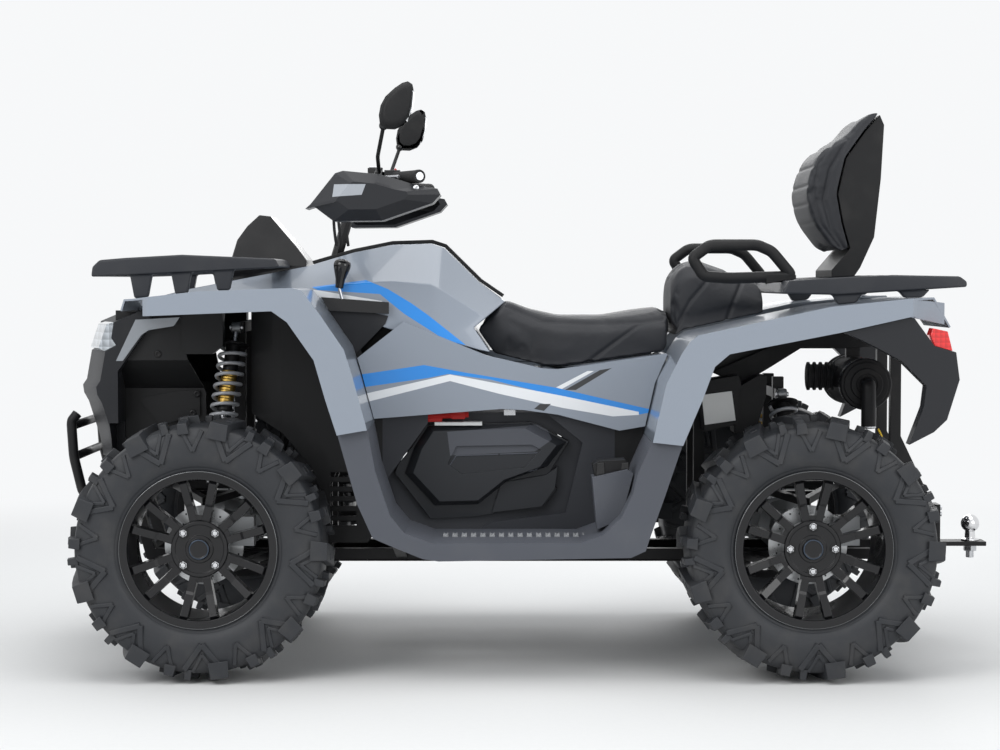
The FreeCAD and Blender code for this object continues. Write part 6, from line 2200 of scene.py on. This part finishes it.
@dataclass
class Cushion:
    """Padded piece whose cover is blown up by a cloth simulation inside its packed form."""

    node: str
    rise: float
    rest: Rest
    seams: Tuple[Outline, ...]
    voxel: float = 0.006
    smoothing: int = 16
    inset: float = 0.004
    pressure: float = 4.0
    frames: int = 20
    hold: float = 1.4
    seam_depth: float = 0.0045
    seam_width: float = 0.005
    seam_reach: float = 2.0
    seam_least: float = 0.02

    def build(self) -> Object:
        """Remeshes, inflates and seams the cover.

        Returns:
            The finished piece.
        """
        shape = merged_copy(self.node)
        piece = linked(self.node + "_padded", shape, [Finish.VINYL.material()])
        self.remeshed(piece)
        self.inflated(piece)
        self.grooved(piece)
        stand_for(piece, self.node)
        return piece

    def remeshed(self, piece: Object) -> None:
        """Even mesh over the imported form, drawn in a little.

        Args:
            piece: the cushion, changed here.
        """
        remesh = piece.modifiers.new("even", "REMESH")
        remesh.mode = "VOXEL"
        remesh.voxel_size = self.voxel
        smooth = piece.modifiers.new("soft", "SMOOTH")
        smooth.factor = 0.5
        smooth.iterations = self.smoothing
        self.applied(piece)
        shape = bmesh.new()
        shape.from_mesh(piece.data)
        shape.normal_update()
        for vert in shape.verts:
            vert.co -= vert.normal * self.inset
        shape.to_mesh(piece.data)
        shape.free()

    def applied(self, piece: Object) -> None:
        """Makes the modifiers' result the piece's own mesh.

        Args:
            piece: the cushion, changed here.
        """
        graph = bpy.context.evaluated_depsgraph_get()
        data = bpy.data.meshes.new_from_object(piece.evaluated_get(graph))
        piece.modifiers.clear()
        piece.data = data
        for polygon in data.polygons:
            polygon.use_smooth = True

    def inflated(self, piece: Object) -> None:
        """Cloth under pressure, its movement capped and its resting side kept.

        Args:
            piece: the cushion, changed here.
        """
        before = [(vert.co.copy(), vert.normal.copy()) for vert in piece.data.vertices]
        cloth = piece.modifiers.new("cover", "CLOTH")
        for name, value in CLOTH_SETTINGS.items():
            setattr(cloth.settings, name, value)
        cloth.settings.uniform_pressure_force = self.pressure
        cloth.settings.effector_weights.gravity = 0.0
        cloth.point_cache.frame_start = 1
        cloth.point_cache.frame_end = self.frames
        for frame in range(1, self.frames + 1):
            bpy.context.scene.frame_set(frame)
        graph = bpy.context.evaluated_depsgraph_get()
        blown = bpy.data.meshes.new_from_object(piece.evaluated_get(graph))
        piece.modifiers.clear()
        bpy.context.scene.frame_set(1)
        resting = Vector(self.rest.value)
        for vert, source, (start, normal) in zip(piece.data.vertices, blown.vertices, before):
            move = source.co - start
            if move.length > self.rise:
                move *= self.rise / move.length
            held = max(0.0, normal.dot(resting)) * self.hold
            vert.co = start + move * (1.0 - min(1.0, held))
        bpy.data.meshes.remove(blown)

    def grooved(self, piece: Object) -> None:
        """One subdivision, then seams pressed along lines of the side view.

        Args:
            piece: the cushion, changed here.
        """
        finer = piece.modifiers.new("finer", "SUBSURF")
        finer.levels = finer.render_levels = 1
        self.applied(piece)
        shape = bmesh.new()
        shape.from_mesh(piece.data)
        sides = [side for line in self.seams for side in zip(line, line[1:])]
        for vert in shape.verts:
            depth = 0.0
            for (x0, z0), (x1, z1) in sides:
                dx, dz = x1 - x0, z1 - z0
                ox, oz = vert.co.x - x0, vert.co.z - z0
                share = min(1.0, max(0.0, (ox * dx + oz * dz) / (dx * dx + dz * dz)))
                gap = math.hypot(ox - dx * share, oz - dz * share) / self.seam_width
                if gap < self.seam_reach:
                    depth = max(depth, math.exp(-gap * gap))
            if depth > self.seam_least:
                vert.co -= vert.normal * (self.seam_depth * depth)
        shape.to_mesh(piece.data)
        shape.free()


@dataclass
class Seats:
    """The rider's seat, the passenger's seat and the backrest pad."""

    seat_seams: Tuple[Outline, ...] = (
        ((-0.0707, 0.9111), (0.0231, 0.8723), (0.1365, 0.8665), (0.2796, 0.8701), (0.335, 0.878)),
        ((0.1365, 0.7641), (0.2796, 0.8701)),
    )
    passenger_seams: Tuple[Outline, ...] = (
        ((0.3650, 0.8500), (0.4050, 0.9250), (0.4600, 0.9900), (0.5400, 1.0050)),
        ((0.4850, 0.8300), (0.5200, 0.9300), (0.5500, 0.9900)),
    )
    pad_seams: Tuple[Outline, ...] = (
        ((0.7857, 1.3565), (0.7362, 1.2784), (0.7232, 1.2003), (0.7440, 1.1222), (0.7909, 1.0649)),
        ((0.8117, 1.3435), (0.7675, 1.2654), (0.7518, 1.1873), (0.7727, 1.1092), (0.8039, 1.0597)),
        ((0.6400, 1.1250), (0.7200, 1.1250)), ((0.6400, 1.1750), (0.7050, 1.1750)),
        ((0.6400, 1.2250), (0.7050, 1.2250)), ((0.6400, 1.2750), (0.7200, 1.2750)),
    )

    def build(self) -> List[Object]:
        """Makes the three cushions.

        Returns:
            The pieces.
        """
        return [
            Cushion("seat", 0.006, Rest.UNDER, self.seat_seams).build(),
            Cushion("passenger_seat", 0.008, Rest.UNDER, self.passenger_seams).build(),
            Cushion("backrest_pad", 0.008, Rest.BEHIND, self.pad_seams).build(),
        ]


# Stage


class Lamp(NamedTuple):
    """Square soft lamp: its name, place, the point it aims at, its size and power."""

    name: str
    place: Place
    aim: Place
    size: float
    watts: float


@dataclass
class Stage:
    """Floor, lamps, world and camera."""

    camera_place: Place = (-0.089, -5.989, 0.979)
    lens_mm: float = 80.75
    sensor_mm: float = 36.0
    dip_deg: float = 2.425
    sight: float = 200.0
    surround: Colour = (0.93, 0.94, 0.95)
    sky: Colour = (0.86, 0.90, 0.95)
    sky_strength: float = 0.55
    floor_size: float = 30.0
    floor_colours: Tuple[Colour, Colour] = ((0.80, 0.80, 0.79), (0.74, 0.74, 0.73))
    floor_roughness: float = 0.75
    fade_near: float = 1.6
    fade_far: float = 4.6
    lamps: Tuple[Lamp, ...] = (
        Lamp("lamp_top", (0.2, -0.6, 4.2), (0.0, 0.0, 0.4), 4.5, 112.0),
        Lamp("lamp_key", (-3.2, -4.0, 3.2), (0.0, 0.0, 0.6), 2.6, 110.0),
        Lamp("lamp_fill", (3.4, -4.2, 1.8), (0.2, 0.0, 0.6), 2.4, 60.0),
        Lamp("lamp_back", (0.6, 4.4, 3.0), (0.0, 0.0, 0.7), 3.0, 80.0),
    )

    def build(self) -> None:
        """Makes them all."""
        self.floor()
        self.world()
        for lamp in self.lamps:
            self.light(lamp)
        self.camera()

    def floor(self) -> None:
        """Pale floor, fading into the surround round the vehicle."""
        graph = Graph.new("floor_pale")
        speck = graph.noise(60.0, 4.0)
        colour = graph.mix(speck * 0.5, *self.floor_colours)
        inputs = {"Base Color": colour, "Roughness": self.floor_roughness}
        near = graph.node("ShaderNodeBsdfPrincipled", {}, inputs)
        far = graph.node("ShaderNodeEmission", {}, {"Color": self.surround, "Strength": 1.0})
        x, y, _ = graph.axes()
        share = ((x * x) + (y * y)).ramp(self.fade_near ** 2, self.fade_far ** 2)
        graph.output(graph.node("ShaderNodeMixShader", {}, {0: share, 1: near, 2: far}))
        shape = bmesh.new()
        bmesh.ops.create_grid(shape, x_segments=2, y_segments=2, size=self.floor_size)
        floor = linked("floor", shape, [graph.owner])

    def world(self) -> None:
        """Pale surround that camera, metal and glass see, and softer light on the object."""
        world = bpy.data.worlds.new("surround")
        bpy.context.scene.world = world
        graph = Graph(world)
        seen, light = (
            graph.node("ShaderNodeBackground", {}, {"Color": colour, "Strength": strength})
            for colour, strength in ((self.surround, 1.0), (self.sky, self.sky_strength))
        )
        camera, gloss, glass = (
            graph.node("ShaderNodeLightPath", {}, {}, f"Is {ray} Ray")
            for ray in ("Camera", "Glossy", "Transmission")
        )
        inputs = {0: camera.most(gloss).most(glass), 1: light, 2: seen}
        graph.output(graph.node("ShaderNodeMixShader", {}, inputs), "ShaderNodeOutputWorld")

    def light(self, lamp: Lamp) -> None:
        """Makes one lamp.

        Args:
            lamp: the lamp's values.
        """
        data = bpy.data.lights.new(lamp.name, "AREA")
        data.energy = lamp.watts
        data.size = lamp.size
        made = bpy.data.objects.new(lamp.name, data)
        made.location = lamp.place
        way = Vector(lamp.aim) - Vector(lamp.place)
        made.rotation_euler = way.to_track_quat("-Z", "Y").to_euler()
        bpy.context.scene.collection.objects.link(made)

    def camera(self) -> None:
        """Camera at the photograph's place and field of view."""
        data = bpy.data.cameras.new("camera")
        data.lens = self.lens_mm
        data.sensor_width = self.sensor_mm
        data.clip_end = self.sight
        camera = bpy.data.objects.new("camera", data)
        camera.location = self.camera_place
        camera.rotation_euler = (math.radians(90.0 - self.dip_deg), 0.0, 0.0)
        bpy.context.scene.collection.objects.link(camera)
        bpy.context.scene.camera = camera


def main() -> None:
    """Builds the whole scene."""
    logging.basicConfig(level=logging.INFO, format="%(message)s")
    FRAME.update(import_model())
    record = FRAME["record"]
    for body, nodes in record["behaviour"]["bodies"].items():
        for node in nodes:
            BODY_OF[node] = body
    bpy.context.scene.view_settings.view_transform = "Standard"
    Stage().build()
    for assembly in (
        Bodywork(), Wheels(), Suspension(), Seats(), Cockpit(), TailAndNose(), Trim()
    ):
        for piece in assembly.build():
            LOG.info("%s: %d faces", piece.name, len(piece.data.polygons))


if __name__ == "__main__":
    main()
